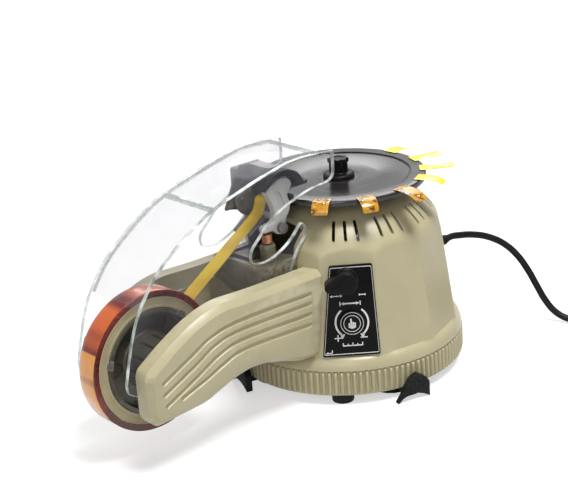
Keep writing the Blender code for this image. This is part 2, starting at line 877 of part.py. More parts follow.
def make_base_pan(frame):
    steps = rib_count * 2
    profile = [(0, 0), (skirt_radius, 0), (skirt_radius, rib_foot), (skirt_radius, skirt_height),
               (0, skirt_height)]
    shape = revolved(profile, steps)
    for vert in shape.verts:
        if vert.co.z > merge_distance and vert.co.xy.length > pan_inner:
            number = round(math.atan2(vert.co.y, vert.co.x) / math.tau * steps)
            if number % 2 == 0:
                vert.co.xy *= (skirt_radius + rib_depth) / skirt_radius
    pan = add_piece("base_pan", shape, "warm_grey_plastic", frame)
    edge = pan_inner - skirt_wall
    recess = revolved([(0, -overrun), (edge, -overrun), (edge, pan_floor_low), (0, pan_floor_low)],
                      turned_sides, cutter_turn)
    shape_with(pan, add_cutter("pan_recess", recess, frame))
    brim = skirt_height + overrun
    hollow = revolved([(0, pan_floor_high), (pan_inner, pan_floor_high), (pan_inner, brim), (0, brim)],
                      turned_sides, cutter_turn)
    shape_with(pan, add_cutter("pan_hollow", hollow, frame))
    seats = [rod(on_ring(foot_ring, azimuth, -overrun), on_ring(foot_ring, azimuth, foot_top),
                 foot_radius + seat_gap) for azimuth in foot_azimuths]
    necks = [rod(on_ring(cup_ring, azimuth, -overrun), on_ring(cup_ring, azimuth, skirt_height / 2),
                 cup_neck_radius + seat_gap, pin_sides) for azimuth in cup_azimuths]
    shape_with(pan, add_cutter("foot_seats", together(*seats), frame))
    shape_with(pan, add_cutter("cup_holes", together(*necks), frame))
    sunk = (pan_floor_low + pan_floor_high) / 2
    posts = [rod((x, y, sunk), (x, y, pan_floor_high + board_lift - seat_gap), board_post_radius, pin_sides)
             for x, y in board_post_places()]
    shape_with(pan, add_cutter("board_posts", together(*posts), frame), "UNION")
    columns = [rod((x, y, sunk), (x, y, gearbox_top - seat_gap), motor_post_radius, pin_sides)
               for x, y in motor_post_places()]
    shape_with(pan, add_cutter("motor_posts", together(*columns), frame), "UNION")


def board_post_places():
    for side in (-1, 1):
        for end in (-1, 1):
            yield (board_x + end * (board_half_length - board_post_inset),
                   board_y + side * (board_half_width - board_post_inset))


def motor_place():
    return on_ring(gear_distance, motor_azimuth, 0)


def motor_post_places():
    centre = motor_place()
    step = 360 / motor_post_count
    for k in range(motor_post_count):
        place = centre + on_ring(motor_post_ring, motor_azimuth + step * (k + 0.5), 0)
        yield place.x, place.y


def make_vents(frame):
    half = vent_width / 2
    low, high = vent_low + half, vent_high - half
    outline = [(-half, low), (0, vent_low), (half, low), (half, high), (0, vent_high), (-half, high)]
    outer = dome_radius + overrun
    cuts = []
    for facet in range(vent_facets):
        for slot in range(vent_slots):
            middle = facet_turn + facet_step * (facet + 0.5) + cutter_turn
            azimuth = middle + vent_pitch * (slot - (vent_slots - 1) / 2)
            cut = extruded(outline, outer - vent_depth, outer, "yz")
            cuts.append(turned(cut, Matrix.Rotation(math.radians(azimuth - 90), 4, "Z")))
    return add_cutter("vent_slots", together(*cuts), frame)


def make_body_cover(frame, panel_frame, switch_frame, cord_frame):
    cover = housing_form("body_cover", 0, frame, "warm_grey_plastic")
    low = skirt_height - overrun
    bottom = shoulder_height - dome_skin
    rise = (dome_top_height - shell_wall - bottom) / inner_rows
    profile = [(0, low), (shoulder_radius - shell_wall, low),
               (shoulder_radius - shell_wall, skirt_height + shell_wall)]
    for k in range(inner_rows + 1):
        height = bottom + rise * k
        share = max(0, height - dome_centre_height) / (dome_rise - shell_wall)
        round_part = (dome_radius - shell_wall) * math.sqrt(max(0, 1 - share ** 2))
        profile.append((min(round_part, flat_radius(height) - shell_wall), height))
    profile.append((0, profile[-1][1]))
    shape_with(cover, add_cutter("cover_hollow", revolved(profile, inner_sides, cutter_turn), frame))
    mouth = box((-shoulder_radius - overrun, -mouth_half_width, mouth_low),
                (mouth_back, mouth_half_width, dome_top_height + overrun))
    shape_with(cover, add_cutter("head_mouth", mouth, frame))
    shape_with(cover, make_vents(frame))
    bore = rod((0, 0, dome_top_height - 2 * shell_wall), (0, 0, dome_top_height + overrun),
               bearing_radius + seat_gap)
    shape_with(cover, add_cutter("bearing_hole", bore, frame))
    depth = 2 * shell_wall + overrun
    shape_with(cover, add_cutter("stem_holes", stem_holes(depth), panel_frame))
    posts = [rod((x, y, -shell_wall / 2), (x, y, seat_gap - control_board_depth), control_post_radius,
                 pin_sides)
             for x, y in control_post_places()]
    shape_with(cover, add_cutter("control_posts", together(*posts), panel_frame), "UNION")
    half = switch_half_width - switch_wall + seat_gap
    half_height = switch_half_height - switch_wall + seat_gap
    window = box((-half, switch_up - half_height, -depth), (half, switch_up + half_height, overrun))
    shape_with(cover, add_cutter("switch_window", window, switch_frame))
    cord_hole = rod((0, cord_up, -depth), (0, cord_up, overrun), relief_root_radius + seat_gap, pin_sides)
    shape_with(cover, add_cutter("cord_hole", cord_hole, cord_frame))


def stem_holes(depth):
    # Holes for the stems of the width knob and the length ring, through the panel and the housing
    return together(
        rod((width_knob_across, width_knob_up, -depth), (width_knob_across, width_knob_up, overrun),
            knob_stem_radius + running_gap, pin_sides),
        rod((length_across, length_up, -depth), (length_across, length_up, overrun),
            ring_stem_radius + running_gap, pin_sides))


def control_post_places():
    half_width = control_board_width / 2 - control_post_inset
    half_height = control_board_height / 2 - control_post_inset
    for x in (-half_width, half_width):
        for y in (-half_height, half_height):
            yield x, panel_middle + y


def panel_outline():
    return from_shares(panel_shares, 0, 0, facet_width, facet_length)


def make_control_plate(panel_frame):
    shape = extruded(filleted(panel_outline(), panel_corner), seat_gap, panel_top_face, "xy")
    plate = add_piece("control_plate", shape, "panel_black", panel_frame)
    shape_with(plate, add_cutter("plate_holes", stem_holes(overrun), panel_frame))


def make_width_knob(axis):
    # Body of the knob: a round back that narrows to a pointer with a round tip
    base = panel_top_face + running_gap
    nose = Vector((-pointer_reach, -pointer_drop))
    aim = math.atan2(nose.y, nose.x)
    opening = math.acos((width_knob_radius - pointer_tip_radius) / nose.length)
    outline = []
    for k in range(knob_back_steps + 1):
        angle = aim + opening + (math.tau - 2 * opening) * k / knob_back_steps
        outline.append(Vector((math.cos(angle), math.sin(angle))) * width_knob_radius)
    for k in range(knob_tip_steps + 1):
        angle = aim + opening * (2 * k / knob_tip_steps - 1)
        outline.append(nose + Vector((math.cos(angle), math.sin(angle))) * pointer_tip_radius)
    top = base + width_knob_height
    middle = base + width_knob_skirt_height / 2
    body = extruded(outline, middle, top, "xy")
    crown = [face for face in body.faces if face.calc_center_median().z > top - merge_distance]
    bmesh.ops.inset_region(body, faces=crown, thickness=width_knob_crown, depth=width_knob_crown)
    knob = add_piece("width_knob", body, "black_plastic", axis)
    skirt = rod((0, 0, base), (0, 0, base + width_knob_skirt_height), width_knob_skirt, rod_sides,
                width_knob_skirt - width_knob_crown)
    shape_with(knob, add_cutter("width_knob_skirt", skirt, axis), "UNION")
    stem = rod((0, 0, -knob_stem_length), (0, 0, middle), knob_stem_radius, pin_sides)
    shape_with(knob, add_cutter("width_knob_stem", stem, axis), "UNION")


def make_length_controls(ring_axis, button_axis):
    base = panel_top_face + seat_gap
    top = base + length_ring_height
    floor = base + length_ring_floor
    bore = button_stem_radius + seat_gap
    profile = [(bore, -knob_stem_length), (ring_stem_radius, -knob_stem_length), (ring_stem_radius, base),
               (length_ring_radius, base), (length_ring_radius, top - length_ring_floor / 2),
               (length_ring_radius - length_ring_floor / 2, top), (length_ring_bore, top),
               (length_ring_bore, floor), (bore, floor)]
    add_piece("length_ring", revolved(profile, rod_sides), "black_plastic", ring_axis)
    face = top + button_proud
    under = face - button_thickness
    foot = button_travel - knob_stem_length
    profile = [(0, foot), (button_stem_radius, foot), (button_stem_radius, under), (button_radius, under),
               (button_radius, face - button_proud), (button_radius - button_proud, face), (0, face)]
    add_piece("enter_button", revolved(profile, rod_sides), "black_plastic", button_axis)


def make_control_board(panel_frame):
    # The board behind the panel, with the bodies that the width knob and the length ring turn in
    half_width, half_height = control_board_width / 2, control_board_height / 2
    low = -control_board_depth - control_board_thickness
    board = box((-half_width, panel_middle - half_height, low),
                (half_width, panel_middle + half_height, -control_board_depth))
    board_piece = add_piece("control_board", board, "board_green", panel_frame)
    front = control_body_depth - control_board_depth
    sunk = low + control_board_thickness / 2
    bodies = [rod((across, up, sunk), (across, up, front), control_body_radius)
              for across, up in ((width_knob_across, width_knob_up), (length_across, length_up))]
    shape_with(board_piece, add_cutter("control_bodies", together(*bodies), panel_frame), "UNION")


def make_arm(side, name, frame, clearance):
    outline = from_shares(arm_outline_shares, arm_tip, arm_low, arm_length, arm_height)
    face_level = side * (arm_outer - arm_bevel)
    shape = extruded(outline, side * arm_inner, face_level)
    bmesh.ops.recalc_face_normals(shape, faces=shape.faces)
    outer = [f for f in shape.faces if abs(f.calc_center_median().y - face_level) < merge_distance]
    bmesh.ops.inset_region(shape, faces=outer, thickness=arm_bevel, depth=arm_bevel, use_even_offset=True)
    arm = add_piece(name, shape, "warm_grey_plastic", frame)
    shape_with(arm, clearance)
    grooves = []
    for shares in groove_shares:
        route = from_shares(shares, arm_tip, arm_low, arm_length, arm_height)
        route = through(list(spread(route, side * arm_outer, "xz")), 2)
        grooves.append(swept(route, groove_radius, groove_sides))
    shape_with(arm, add_cutter(name + "_grooves", together(*grooves), frame))
    socket = rod((reel_x, side * (arm_inner - overrun), reel_z),
                 (reel_x, side * (arm_inner + shaft_socket), reel_z), shaft_radius + seat_gap)
    shape_with(arm, add_cutter(name + "_socket", socket, frame))


def make_head_base(frame, clearance):
    outline = from_shares(head_outline_shares, head_left, head_top - head_height, head_length, head_height)
    shape = extruded(filleted(outline, head_corner), -head_half_width, head_half_width)
    head = add_piece("head_base", shape, "warm_grey_plastic", frame)
    shape_with(head, clearance)
    boss = rod((spring_x, spring_y, head_top - head_corner), (spring_x, spring_y, spring_boss_top),
               spring_boss_radius, rod_sides, spring_boss_radius - head_corner / 2)
    shape_with(head, add_cutter("spring_boss", boss, frame), "UNION")


def make_head_bracket(frame):
    outline = from_shares(bracket_outline_shares, bracket_left, bracket_low, bracket_length, bracket_height)
    bracket = add_piece("head_bracket", extruded(outline, bracket_near, bracket_far), "steel", frame)
    inside = bracket_far - bracket_thickness / 2
    foot = box((bracket_left + bracket_thickness, bracket_far - bracket_foot_width, bracket_low),
               (bracket_left + bracket_foot_length, inside, bracket_low + bracket_thickness))
    shape_with(bracket, add_cutter("bracket_foot", foot, frame), "UNION")
    flange_left = -disc_radius - flange_out
    flange_near = inside - flange_width
    flange = box((flange_left, flange_near, flange_low),
                 (flange_left + flange_length, flange_near + flange_width, flange_low + flange_thickness))
    shape_with(bracket, add_cutter("bracket_flange", flange, frame), "UNION")
    pins = [rod((guide_pin_x, y, flange_low - guide_pin_reach), (guide_pin_x, y, flange_low + seat_gap),
                guide_pin_radius, pin_sides) for y in (-guide_pin_y, guide_pin_y)]
    shape_with(bracket, add_cutter("cutter_guide_pins", together(*pins), frame), "UNION")
    near, far = bracket_near - overrun, bracket_far + overrun
    holes = together(
        rod((feed_x, near, feed_z), (feed_x, far, feed_z), feed_axle_radius + seat_gap, pin_sides),
        rod((lever_x, near, lever_z), (lever_x, far, lever_z), lever_pin_radius + seat_gap, pin_sides))
    shape_with(bracket, add_cutter("bracket_holes", holes, frame))
    left, near, low = -disc_radius - solenoid_out, bracket_far + seat_gap, disc_top + solenoid_rise
    solenoid = box((left, near, low), (left + solenoid_length, near + solenoid_depth, low + solenoid_height))
    soften(add_piece("cutter_solenoid", solenoid, "dark_grey_plastic", frame), solenoid_round)


def make_guide_plate(frame):
    # The plate beside the tape, with the small table that the tape slides on and two screw heads
    left, low = -disc_radius - guide_out, disc_top - guide_drop
    outline = from_shares(guide_outline_shares, left, low, guide_length, guide_height)
    shape = extruded(filleted(outline, head_corner, 2), guide_near, guide_far)
    plate = add_piece("guide_plate", shape, "dark_grey_plastic", frame)
    places = from_shares(guide_table_shares, left, low, guide_length, guide_height)
    front, back = (Vector(place) for place in places)
    down = Vector((0, -guide_table_thickness))
    table = extruded([front, back, back + down, front + down], -tape_width / 2,
                     guide_far - guide_thickness / 3)
    shape_with(plate, add_cutter("guide_table", table, frame), "UNION")
    hole = rod((feed_x, guide_near - overrun, feed_z), (feed_x, guide_far + overrun, feed_z),
               feed_axle_radius + seat_gap, pin_sides)
    shape_with(plate, add_cutter("guide_axle_hole", hole, frame))
    heads = [rod((x, guide_near - guide_screw_head, z), (x, guide_near + seat_gap, z), guide_screw_radius,
                 pin_sides)
             for x, z in from_shares(guide_screw_shares, left, low, guide_length, guide_height)]
    shape_with(plate, add_cutter("guide_screws", together(*heads), frame), "UNION")


def make_feed_roller(axis):
    # A fluted roller on a thin axle, about the local y axis
    steps = feed_flutes * 2
    outline = []
    for k in range(steps):
        radius = feed_radius - feed_flute_depth * (k % 2)
        angle = math.tau * k / steps
        outline.append((radius * math.cos(angle), radius * math.sin(angle)))
    roller = add_piece("feed_roller", extruded(outline, -tape_width / 2, tape_width / 2),
                       "dark_grey_plastic", axis)
    axle = rod((0, -tape_width / 2 - feed_axle_proud, 0), (0, bracket_far - seat_gap, 0), feed_axle_radius,
               pin_sides)
    shape_with(roller, add_cutter("feed_axle", axle, axis), "UNION")


def make_press_lever(axis, roller_axis):
    # Local places count from the lever's pivot
    outline = from_shares(lever_outline_shares, -lever_tail, -lever_low, lever_length, lever_height)
    shape = extruded(filleted(outline, lever_corner, 2), lever_near, lever_far)
    lever = add_piece("press_lever", shape, "light_grey_plastic", axis)
    hole = rod((0, lever_near - overrun, 0), (0, lever_far + overrun, 0), lever_pin_radius + seat_gap,
               pin_sides)
    shape_with(lever, add_cutter("lever_hole", hole, axis))
    cap_near = lever_near - cap_proud
    outline = from_shares(cap_outline_shares, -cap_front, cap_low, cap_length, cap_height)
    cap = add_piece("lever_cap", extruded(outline, cap_near, cap_near + cap_width), "black_plastic", axis)
    front = press_roller_x - lever_x - finger_length / 2
    back = front + finger_length
    low = cap_low - seat_gap * 3
    finger = box((front, cap_near + cap_proud, low), (back, finger_far, low + finger_thickness))
    shape_with(cap, add_cutter("cap_finger", finger, axis), "UNION")
    join = seat_gap / 2
    foot = low - cap_cheek_drop
    cheeks = together(
        box((front + join, -cap_cheek_half_width, foot),
            (front + cap_cheek, cap_cheek_half_width, low + cap_cheek)),
        box((back - cap_cheek, -cap_cheek_half_width, foot),
            (back - join, cap_cheek_half_width, low + cap_cheek)))
    shape_with(cap, add_cutter("cap_cheeks", cheeks, axis), "UNION")
    drop = press_roller_height - lever_z
    axle_hole = rod((front - overrun, 0, drop), (back + overrun, 0, drop), press_axle_radius + seat_gap,
                    pin_sides)
    shape_with(cap, add_cutter("cap_axle_holes", axle_hole, axis))
    half = finger_length / 2
    body = half - cap_cheek - running_gap
    profile = [(0, -half), (press_axle_radius, -half), (press_axle_radius, -body),
               (press_roller_radius, -body), (press_roller_radius, body), (press_axle_radius, body),
               (press_axle_radius, half), (0, half)]
    roller = turned(revolved(profile, rod_sides), Matrix.Rotation(math.pi / 2, 4, "Y"))
    add_piece("press_roller", roller, "black_rubber", roller_axis)


def make_lever_pin(frame):
    # The pin holds the lever on the bracket, and its head shows on the near side
    under = lever_near - seat_gap
    pin = rod((lever_x, under - lever_pin_head / 2, lever_z), (lever_x, bracket_far, lever_z),
              lever_pin_radius, pin_sides)
    piece = add_piece("lever_pin", pin, "brass", frame)
    head = rod((lever_x, under - lever_pin_head, lever_z), (lever_x, under, lever_z), lever_pin_head_radius,
               rod_sides)
    shape_with(piece, add_cutter("lever_pin_head_form", head, frame), "UNION")


def make_lever_spring(frame):
    # A helix from the boss to the flat underside of the lever's tail
    tail_low = lever_z - lever_low + lever_tail_shares[-1][1] * lever_height
    low = spring_boss_top + seat_gap + spring_wire / 2
    high = tail_low - seat_gap - spring_wire / 2
    count = spring_turns * spring_steps
    points = []
    for k in range(count + 1):
        angle = math.tau * k / spring_steps
        points.append((spring_x + spring_radius * math.cos(angle), spring_y + spring_radius * math.sin(angle),
                       low + (high - low) * k / count))
    add_tube("lever_spring", points, spring_wire / 2, "copper_spring", frame, 0)
    print("spring gap between turns", round((high - low) / spring_turns - spring_wire, 5))


def make_cutter(axis):
    # The carrier and blade slide down on the two pins under the bracket's flange
    high = carrier_low + carrier_height
    shape = box((carrier_back - carrier_depth, -blade_half_width, carrier_low),
                (carrier_back, blade_half_width, high))
    carrier = add_piece("blade_carrier", shape, "dark_grey_plastic", axis)
    holes = [rod((guide_pin_x, y, carrier_low - overrun), (guide_pin_x, y, high + overrun),
                 guide_pin_radius + seat_gap, pin_sides) for y in (-guide_pin_y, guide_pin_y)]
    shape_with(carrier, add_cutter("carrier_holes", together(*holes), axis))
    pitch = 2 * blade_half_width / blade_teeth
    root = blade_low + blade_tooth_depth
    outline = []
    for k in range(blade_teeth):
        left = pitch * k - blade_half_width
        outline += [(left, root), (left + pitch / 2, blade_low)]
    top = blade_low + blade_height
    outline += [(blade_half_width, root), (blade_half_width, top), (-blade_half_width, top)]
    blade = extruded(outline, blade_front, blade_front + blade_thickness, "yz")
    add_piece("cutter_blade", blade, "steel", axis)


def strip_outline(path, thickness):
    # A thin band along a path of (x, z) points
    points = [Vector(p) for p in path]
    upper, lower = [], []
    for i, point in enumerate(points):
        run = (points[min(i + 1, len(points) - 1)] - points[max(i - 1, 0)]).normalized()
        normal = Vector((-run.y, run.x)) * thickness / 2
        upper.append(point + normal)
        lower.append(point - normal)
    return upper + lower[::-1]


def make_tape_web(frame):
    # The web peels off the roll at an angle about the reel and ends beside the blade
    peel = film_radius + seat_gap + web_film / 2
    angle = math.radians(web_peel_angle)
    start = (reel_x + peel * math.cos(angle), reel_z + peel * math.sin(angle))
    route = from_shares(web_shares, -disc_radius - web_out, disc_top - web_drop, web_length, web_height)
    outline = strip_outline(through([start, *route], 2), web_film)
    add_piece("tape_web", extruded(outline, -tape_width / 2, tape_width / 2), "amber_film", frame)


def make_reel(frame, axis):
    # The reel turns about the local y axis
    lie_down = Matrix.Rotation(math.pi / 2, 4, "X")
    half = tape_width / 2
    film = [(core_radius + seat_gap, -half), (film_radius, -half), (film_radius, half),
            (core_radius + seat_gap, half)]
    add_piece("tape_roll", turned(revolved(film, turned_sides), lie_down), "amber_film", axis)
    core = [(core_bore, -half), (core_radius, -half), (core_radius, half), (core_bore, half)]
    add_piece("tape_core", turned(revolved(core, turned_sides), lie_down), "core_plastic", axis)
    rim = core_bore - seat_gap
    bore = shaft_radius + seat_gap
    reach = hub_boss_reach
    web = hub_web / 2
    dish = hub_boss_radius - hub_wall
    profile = [(bore, -reach), (dish, -reach), (hub_boss_radius, -reach + hub_wall / 2),
               (hub_boss_radius, -web), (rim - hub_wall, -web), (rim - hub_wall, -half), (rim, -half),
               (rim, half), (rim - hub_wall, half), (rim - hub_wall, web), (hub_boss_radius, web),
               (hub_boss_radius, reach - hub_wall / 2), (dish, reach), (bore, reach)]
    hub = add_piece("reel_hub", turned(revolved(profile, inner_sides), lie_down), "dark_grey_plastic", axis)
    middle = (hub_boss_radius + rim - hub_wall) / 2
    windows = []
    for k in range(hub_window_count):
        angle = math.tau * k / hub_window_count + math.radians(cutter_turn)
        x, z = middle * math.cos(angle), middle * math.sin(angle)
        windows.append(rod((x, -half, z), (x, half, z), hub_window_radius, pin_sides))
    shape_with(hub, add_cutter("hub_windows", together(*windows), axis))
    near = -half - seat_gap - catch_thickness
    profile = [(rim - hub_wall, near), (rim - catch_lip, near), (rim - catch_lip, near + catch_thickness),
               (rim - hub_wall, near + catch_thickness)]
    ring = add_piece("core_catches", turned(revolved(profile, inner_sides), lie_down.inverted()),
                     "dark_grey_plastic", axis)
    tabs = []
    for k in range(catch_count):
        tab = box((rim - hub_wall + seat_gap, near, -catch_width / 2),
                  (core_bore + catch_lip, near + catch_thickness, catch_width / 2))
        turn = math.radians(catch_turn + 360 / catch_count * k)
        tabs.append(turned(tab, Matrix.Rotation(-turn, 4, "Y")))
    shape_with(ring, add_cutter("catch_tabs", together(*tabs), axis), "UNION")
    reach = arm_inner + shaft_socket - seat_gap
    shaft = rod((reel_x, -reach, reel_z), (reel_x, reach, reel_z), shaft_radius)
    add_piece("reel_shaft", shaft, "steel", frame)


def cover_points(shares):
    # Places about the reel's axis: the front follows the roll, and the rest follows the turntable
    start, end = cover_bend_shares
    for along, up in shares:
        front = Vector((along * cover_front_length - cover_nose, up * cover_front_height - cover_drop))
        back = Vector((cover_tip + along * cover_length - reel_x,
                       cover_high - (1 - up) * cover_hook_height - reel_z))
        yield front.lerp(back, min(1, max(0, (along - start) / (end - start))))


def cover_edge():
    # The cover's outer edge from its back to its front, about the reel's axis
    return through(cover_points(cover_top_shares), 3)


def make_cover(axis):
    under = cover_tip_shares + cover_skirt_shares + cover_hook_shares + cover_notch_shares
    outline = [*cover_edge(), *cover_points(under)]
    inner = cover_half_width - cover_wall
    for side, name in ((-1, "cover_wall_near"), (1, "cover_wall_far")):
        shape = extruded(outline, side * inner, side * cover_half_width)
        wall = add_piece(name, shape, "clear_acrylic", axis)
        hole = rod((0, side * (inner - overrun), 0), (0, side * (cover_half_width + overrun), 0),
                   shaft_radius + seat_gap)
        shape_with(wall, add_cutter(name + "_hole", hole, axis))
    mouth = cover_mouth_share * cover_front_length - cover_nose
    seam, back = (cover_tip + share * cover_length - reel_x
                  for share in (cover_seam_share, cover_back_share))
    edge = cover_edge()
    step = cover_panel / 2
    for name, high, low in (("cover_front_panel", seam - seat_gap / 2, mouth),
                            ("cover_rear_panel", back, seam + seat_gap / 2)):
        band = [p for p in edge if low < p.x < high]
        outer = [point_at(edge, high), *band, point_at(edge, low)]
        inside = []
        for point in outer:
            run = (point_at(edge, point.x - step) - point_at(edge, point.x + step)).normalized()
            inside.append(point + Vector((-run.y, run.x)) * cover_panel)
        panel = extruded(outer + inside[::-1], seat_gap - inner, inner - seat_gap)
        add_piece(name, panel, "clear_acrylic", axis)


def point_at(edge, x):
    # The point of the falling edge line at a given x
    for a, b in zip(edge, edge[1:]):
        if b.x <= x <= a.x:
            return a.lerp(b, (a.x - x) / (a.x - b.x))
    return edge[0]


def tooth_outline(teeth):
    # Trapezoid teeth about the pitch circle
    pitch_radius = gear_module * teeth / 2
    outer = pitch_radius + gear_module
    root = pitch_radius - gear_module * tooth_root_share
    corners = ((root, -tooth_foot_share), (outer, -tooth_tip_share), (outer, tooth_tip_share),
               (root, tooth_foot_share))
    points = []
    for k in range(teeth):
        for radius, share in corners:
            angle = math.tau * (k + share) / teeth
            points.append((radius * math.cos(angle), radius * math.sin(angle)))
    return points


def make_turntable(axis):
    # Local heights count from the top of the rim
    radius = disc_radius
    band = radius - band_width
    step = -band_step
    flat = -dish_depth
    under = flat - disc_thickness
    profile = [(disc_bore, flat), (dish_flat_radius, flat), (band - band_step, step), (band, 0),
               (radius - disc_rim_round, 0), (radius, -disc_rim_round), (radius, -disc_rim),
               (radius - disc_thickness, -disc_rim), (radius - disc_thickness, -disc_thickness),
               (band, -disc_thickness - band_step), (dish_flat_radius, under), (disc_bore, under)]
    add_piece("turntable_disc", revolved(profile, disc_sides), "dark_disc_plastic", axis)
    low = gear_low - disc_top
    spindle = add_piece("turntable_spindle",
                        rod((0, 0, low - spindle_tail), (0, 0, spindle_rise), spindle_radius), "steel", axis)
    gear = extruded(tooth_outline(gear_teeth), low, low + gear_thickness, "xy")
    shape_with(spindle, add_cutter("drive_gear", gear, axis), "UNION")
    base = flat + seat_gap
    bore = spindle_radius + seat_gap
    neck = base + knob_base_height
    top = flat + knob_height
    lobes_low = top - knob_cap_height
    inside = spindle_rise + seat_gap
    profile = [(bore, base), (knob_base_radius, base), (knob_base_radius, base + knob_base_height / 2),
               (knob_base_radius - knob_base_height / 2, neck), (knob_radius, neck),
               (knob_radius, lobes_low + knob_crown), (0, lobes_low + knob_crown), (0, inside),
               (bore, inside)]
    shape = revolved(profile, rod_sides, cutter_turn)
    knob = add_piece("centre_knob", shape, "black_plastic", axis)
    outline = []
    count = knob_lobes * 4
    for k in range(count):
        angle = math.tau * k / count
        reach = knob_radius + knob_lobe_depth * math.cos(angle * knob_lobes)
        outline.append((reach * math.cos(angle), reach * math.sin(angle)))
    cap = extruded(outline, lobes_low, top, "xy")
    crown = [f for f in cap.faces if f.calc_center_median().z > top - merge_distance]
    bmesh.ops.recalc_face_normals(cap, faces=cap.faces)
    bmesh.ops.inset_region(cap, faces=crown, thickness=knob_lobe_depth, depth=knob_lobe_depth / 2)
    shape_with(knob, add_cutter("knob_lobes", cap, axis), "UNION")


def make_drive(pinion_axis, frame):
    # The pinion faces the gear with a gap between two of its teeth
    facing = math.radians(motor_azimuth + 90 + 180 / pinion_teeth)
    top = gear_low + gear_thickness
    shape = extruded(tooth_outline(pinion_teeth), gear_low, top, "xy")
    pinion = add_piece("drive_pinion", turned(shape, Matrix.Rotation(facing, 4, "Z")), "brass", pinion_axis)
    shaft = rod((0, 0, gearbox_top + motor_plate_thickness + seat_gap), (0, 0, top + seat_gap),
                motor_shaft_radius, pin_sides)
    shape_with(pinion, add_cutter("pinion_shaft", shaft, pinion_axis), "UNION")
    centre = motor_place()
    profile = [(0, motor_low), (motor_radius, motor_low), (motor_radius, can_top), (gearbox_radius, can_top),
               (gearbox_radius, gearbox_top), (motor_plate_radius, gearbox_top),
               (motor_plate_radius, gearbox_top + motor_plate_thickness),
               (0, gearbox_top + motor_plate_thickness)]
    add_piece("gear_motor", moved(revolved(profile, inner_sides), centre), "steel", frame)
    bore = spindle_radius + seat_gap
    seat = dome_top_height + seat_gap
    profile = [(bore, top + running_gap), (bearing_radius, top + running_gap), (bearing_radius, seat),
               (bearing_flange_radius, seat), (bearing_flange_radius, seat + bearing_flange),
               (bore, seat + bearing_flange)]
    add_piece("spindle_bearing", revolved(profile, inner_sides), "brass", frame)


def make_tape_pieces(axis):
    # Each piece lies on the rim and bends down or up from it
    for number, azimuth in enumerate(piece_azimuths):
        droop = math.radians(piece_droops[number])
        rise = piece_film / 2 + seat_gap
        path = [Vector((disc_radius - piece_hold, rise)), Vector((disc_radius, rise))]
        step = piece_lengths[number] / piece_steps
        for k in range(piece_steps):
            angle = droop * (k + 0.5) / (piece_steps - 0.5)
            path.append(path[-1] + Vector((math.cos(angle), -math.sin(angle))) * step)
        shape = extruded(strip_outline(path, piece_film), -piece_width / 2, piece_width / 2)
        turn = Matrix.Rotation(math.radians(azimuth - 90), 4, "Z")
        add_piece("tape_piece_%d" % (number + 1), turned(shape, turn), "amber_film", axis)


def make_feet(frame):
    for k, azimuth in enumerate(foot_azimuths):
        foot = rod(on_ring(foot_ring, azimuth, table_level), on_ring(foot_ring, azimuth, foot_top - seat_gap),
                   foot_radius - seat_gap, rod_sides, foot_radius)
        add_piece("rubber_foot_%d" % (k + 1), foot, "black_rubber", frame)
    for k, azimuth in enumerate(cup_azimuths):
        make_suction_cup("suction_cup_%d" % (k + 1), azimuth, frame)


def make_suction_cup(name, azimuth, frame):
    # A cup on a neck that snaps into the pan, with a release tab that shows beside the skirt
    low, high = table_level, -seat_gap
    top = pan_floor_high - seat_gap
    profile = [(0, low + cup_lip), (cup_radius - cup_lip, low), (cup_radius, low),
               (cup_radius * cup_crown_share, high - cup_lip), (cup_neck_radius, high),
               (cup_neck_radius, top), (0, top)]
    turn = Matrix.Rotation(math.radians(azimuth), 4, "Z")
    shape = moved(revolved(profile, rod_sides), (0, -cup_ring, 0))
    cup = add_piece(name, turned(shape, turn), "black_rubber", frame)
    outline = from_shares(tab_outline_shares, 0, low, tab_half_width, tab_height)
    tab = extruded(outline, -tab_reach, tab_depth - tab_reach)
    half = tab_neck_width / 2
    neck = box((-half, tab_depth / 2 - tab_reach, high - seat_gap - tab_neck_height),
               (half, -cup_ring - cup_radius / 2, high - seat_gap))
    shape_with(cup, add_cutter(name + "_tab", turned(tab, turn), frame), "UNION")
    shape_with(cup, add_cutter(name + "_neck", turned(neck, turn), frame), "UNION")


def make_electronics(frame):
    low = pan_floor_high + board_lift
    top = low + board_thickness
    left, right = board_x - board_half_length, board_x + board_half_length
    shape = box((left, board_y - board_half_width, low), (right, board_y + board_half_width, top))
    board = add_piece("main_board", shape, "board_green", frame)
    sunk = top - board_thickness / 2
    parts = []
    for k in range(capacitor_count):
        x = board_x - board_half_length / 2 + capacitor_pitch * k
        y = board_y + board_half_width / 3
        parts.append(rod((x, y, sunk), (x, y, top + capacitor_height), capacitor_radius, pin_sides))
    back = board_y - chip_length / 2
    parts.append(box((board_x - chip_length / 2, back - chip_width / 2, sunk),
                     (board_x + chip_length / 2, back + chip_width / 2, top + chip_height)))
    edge = left + board_thickness
    parts.append(box((edge, board_y - connector_length, sunk),
                     (edge + connector_width, board_y, top + connector_height)))
    shape_with(board, add_cutter("board_parts", together(*parts), frame), "UNION")
    half_length, half_width = transformer_length / 2, transformer_width / 2
    core = box((board_x - half_length, transformer_y - half_width, sunk),
               (board_x + half_length, transformer_y + half_width, top + transformer_height))
    middle = top + transformer_height / 2
    coil = box((board_x - winding_length / 2, transformer_y - winding_width / 2, middle - winding_height / 2),
               (board_x + winding_length / 2, transformer_y + winding_width / 2, middle + winding_height / 2))
    shape_with(board, add_cutter("transformer_core", core, frame), "UNION")
    shape_with(board, add_cutter("transformer_coil", coil, frame), "UNION")


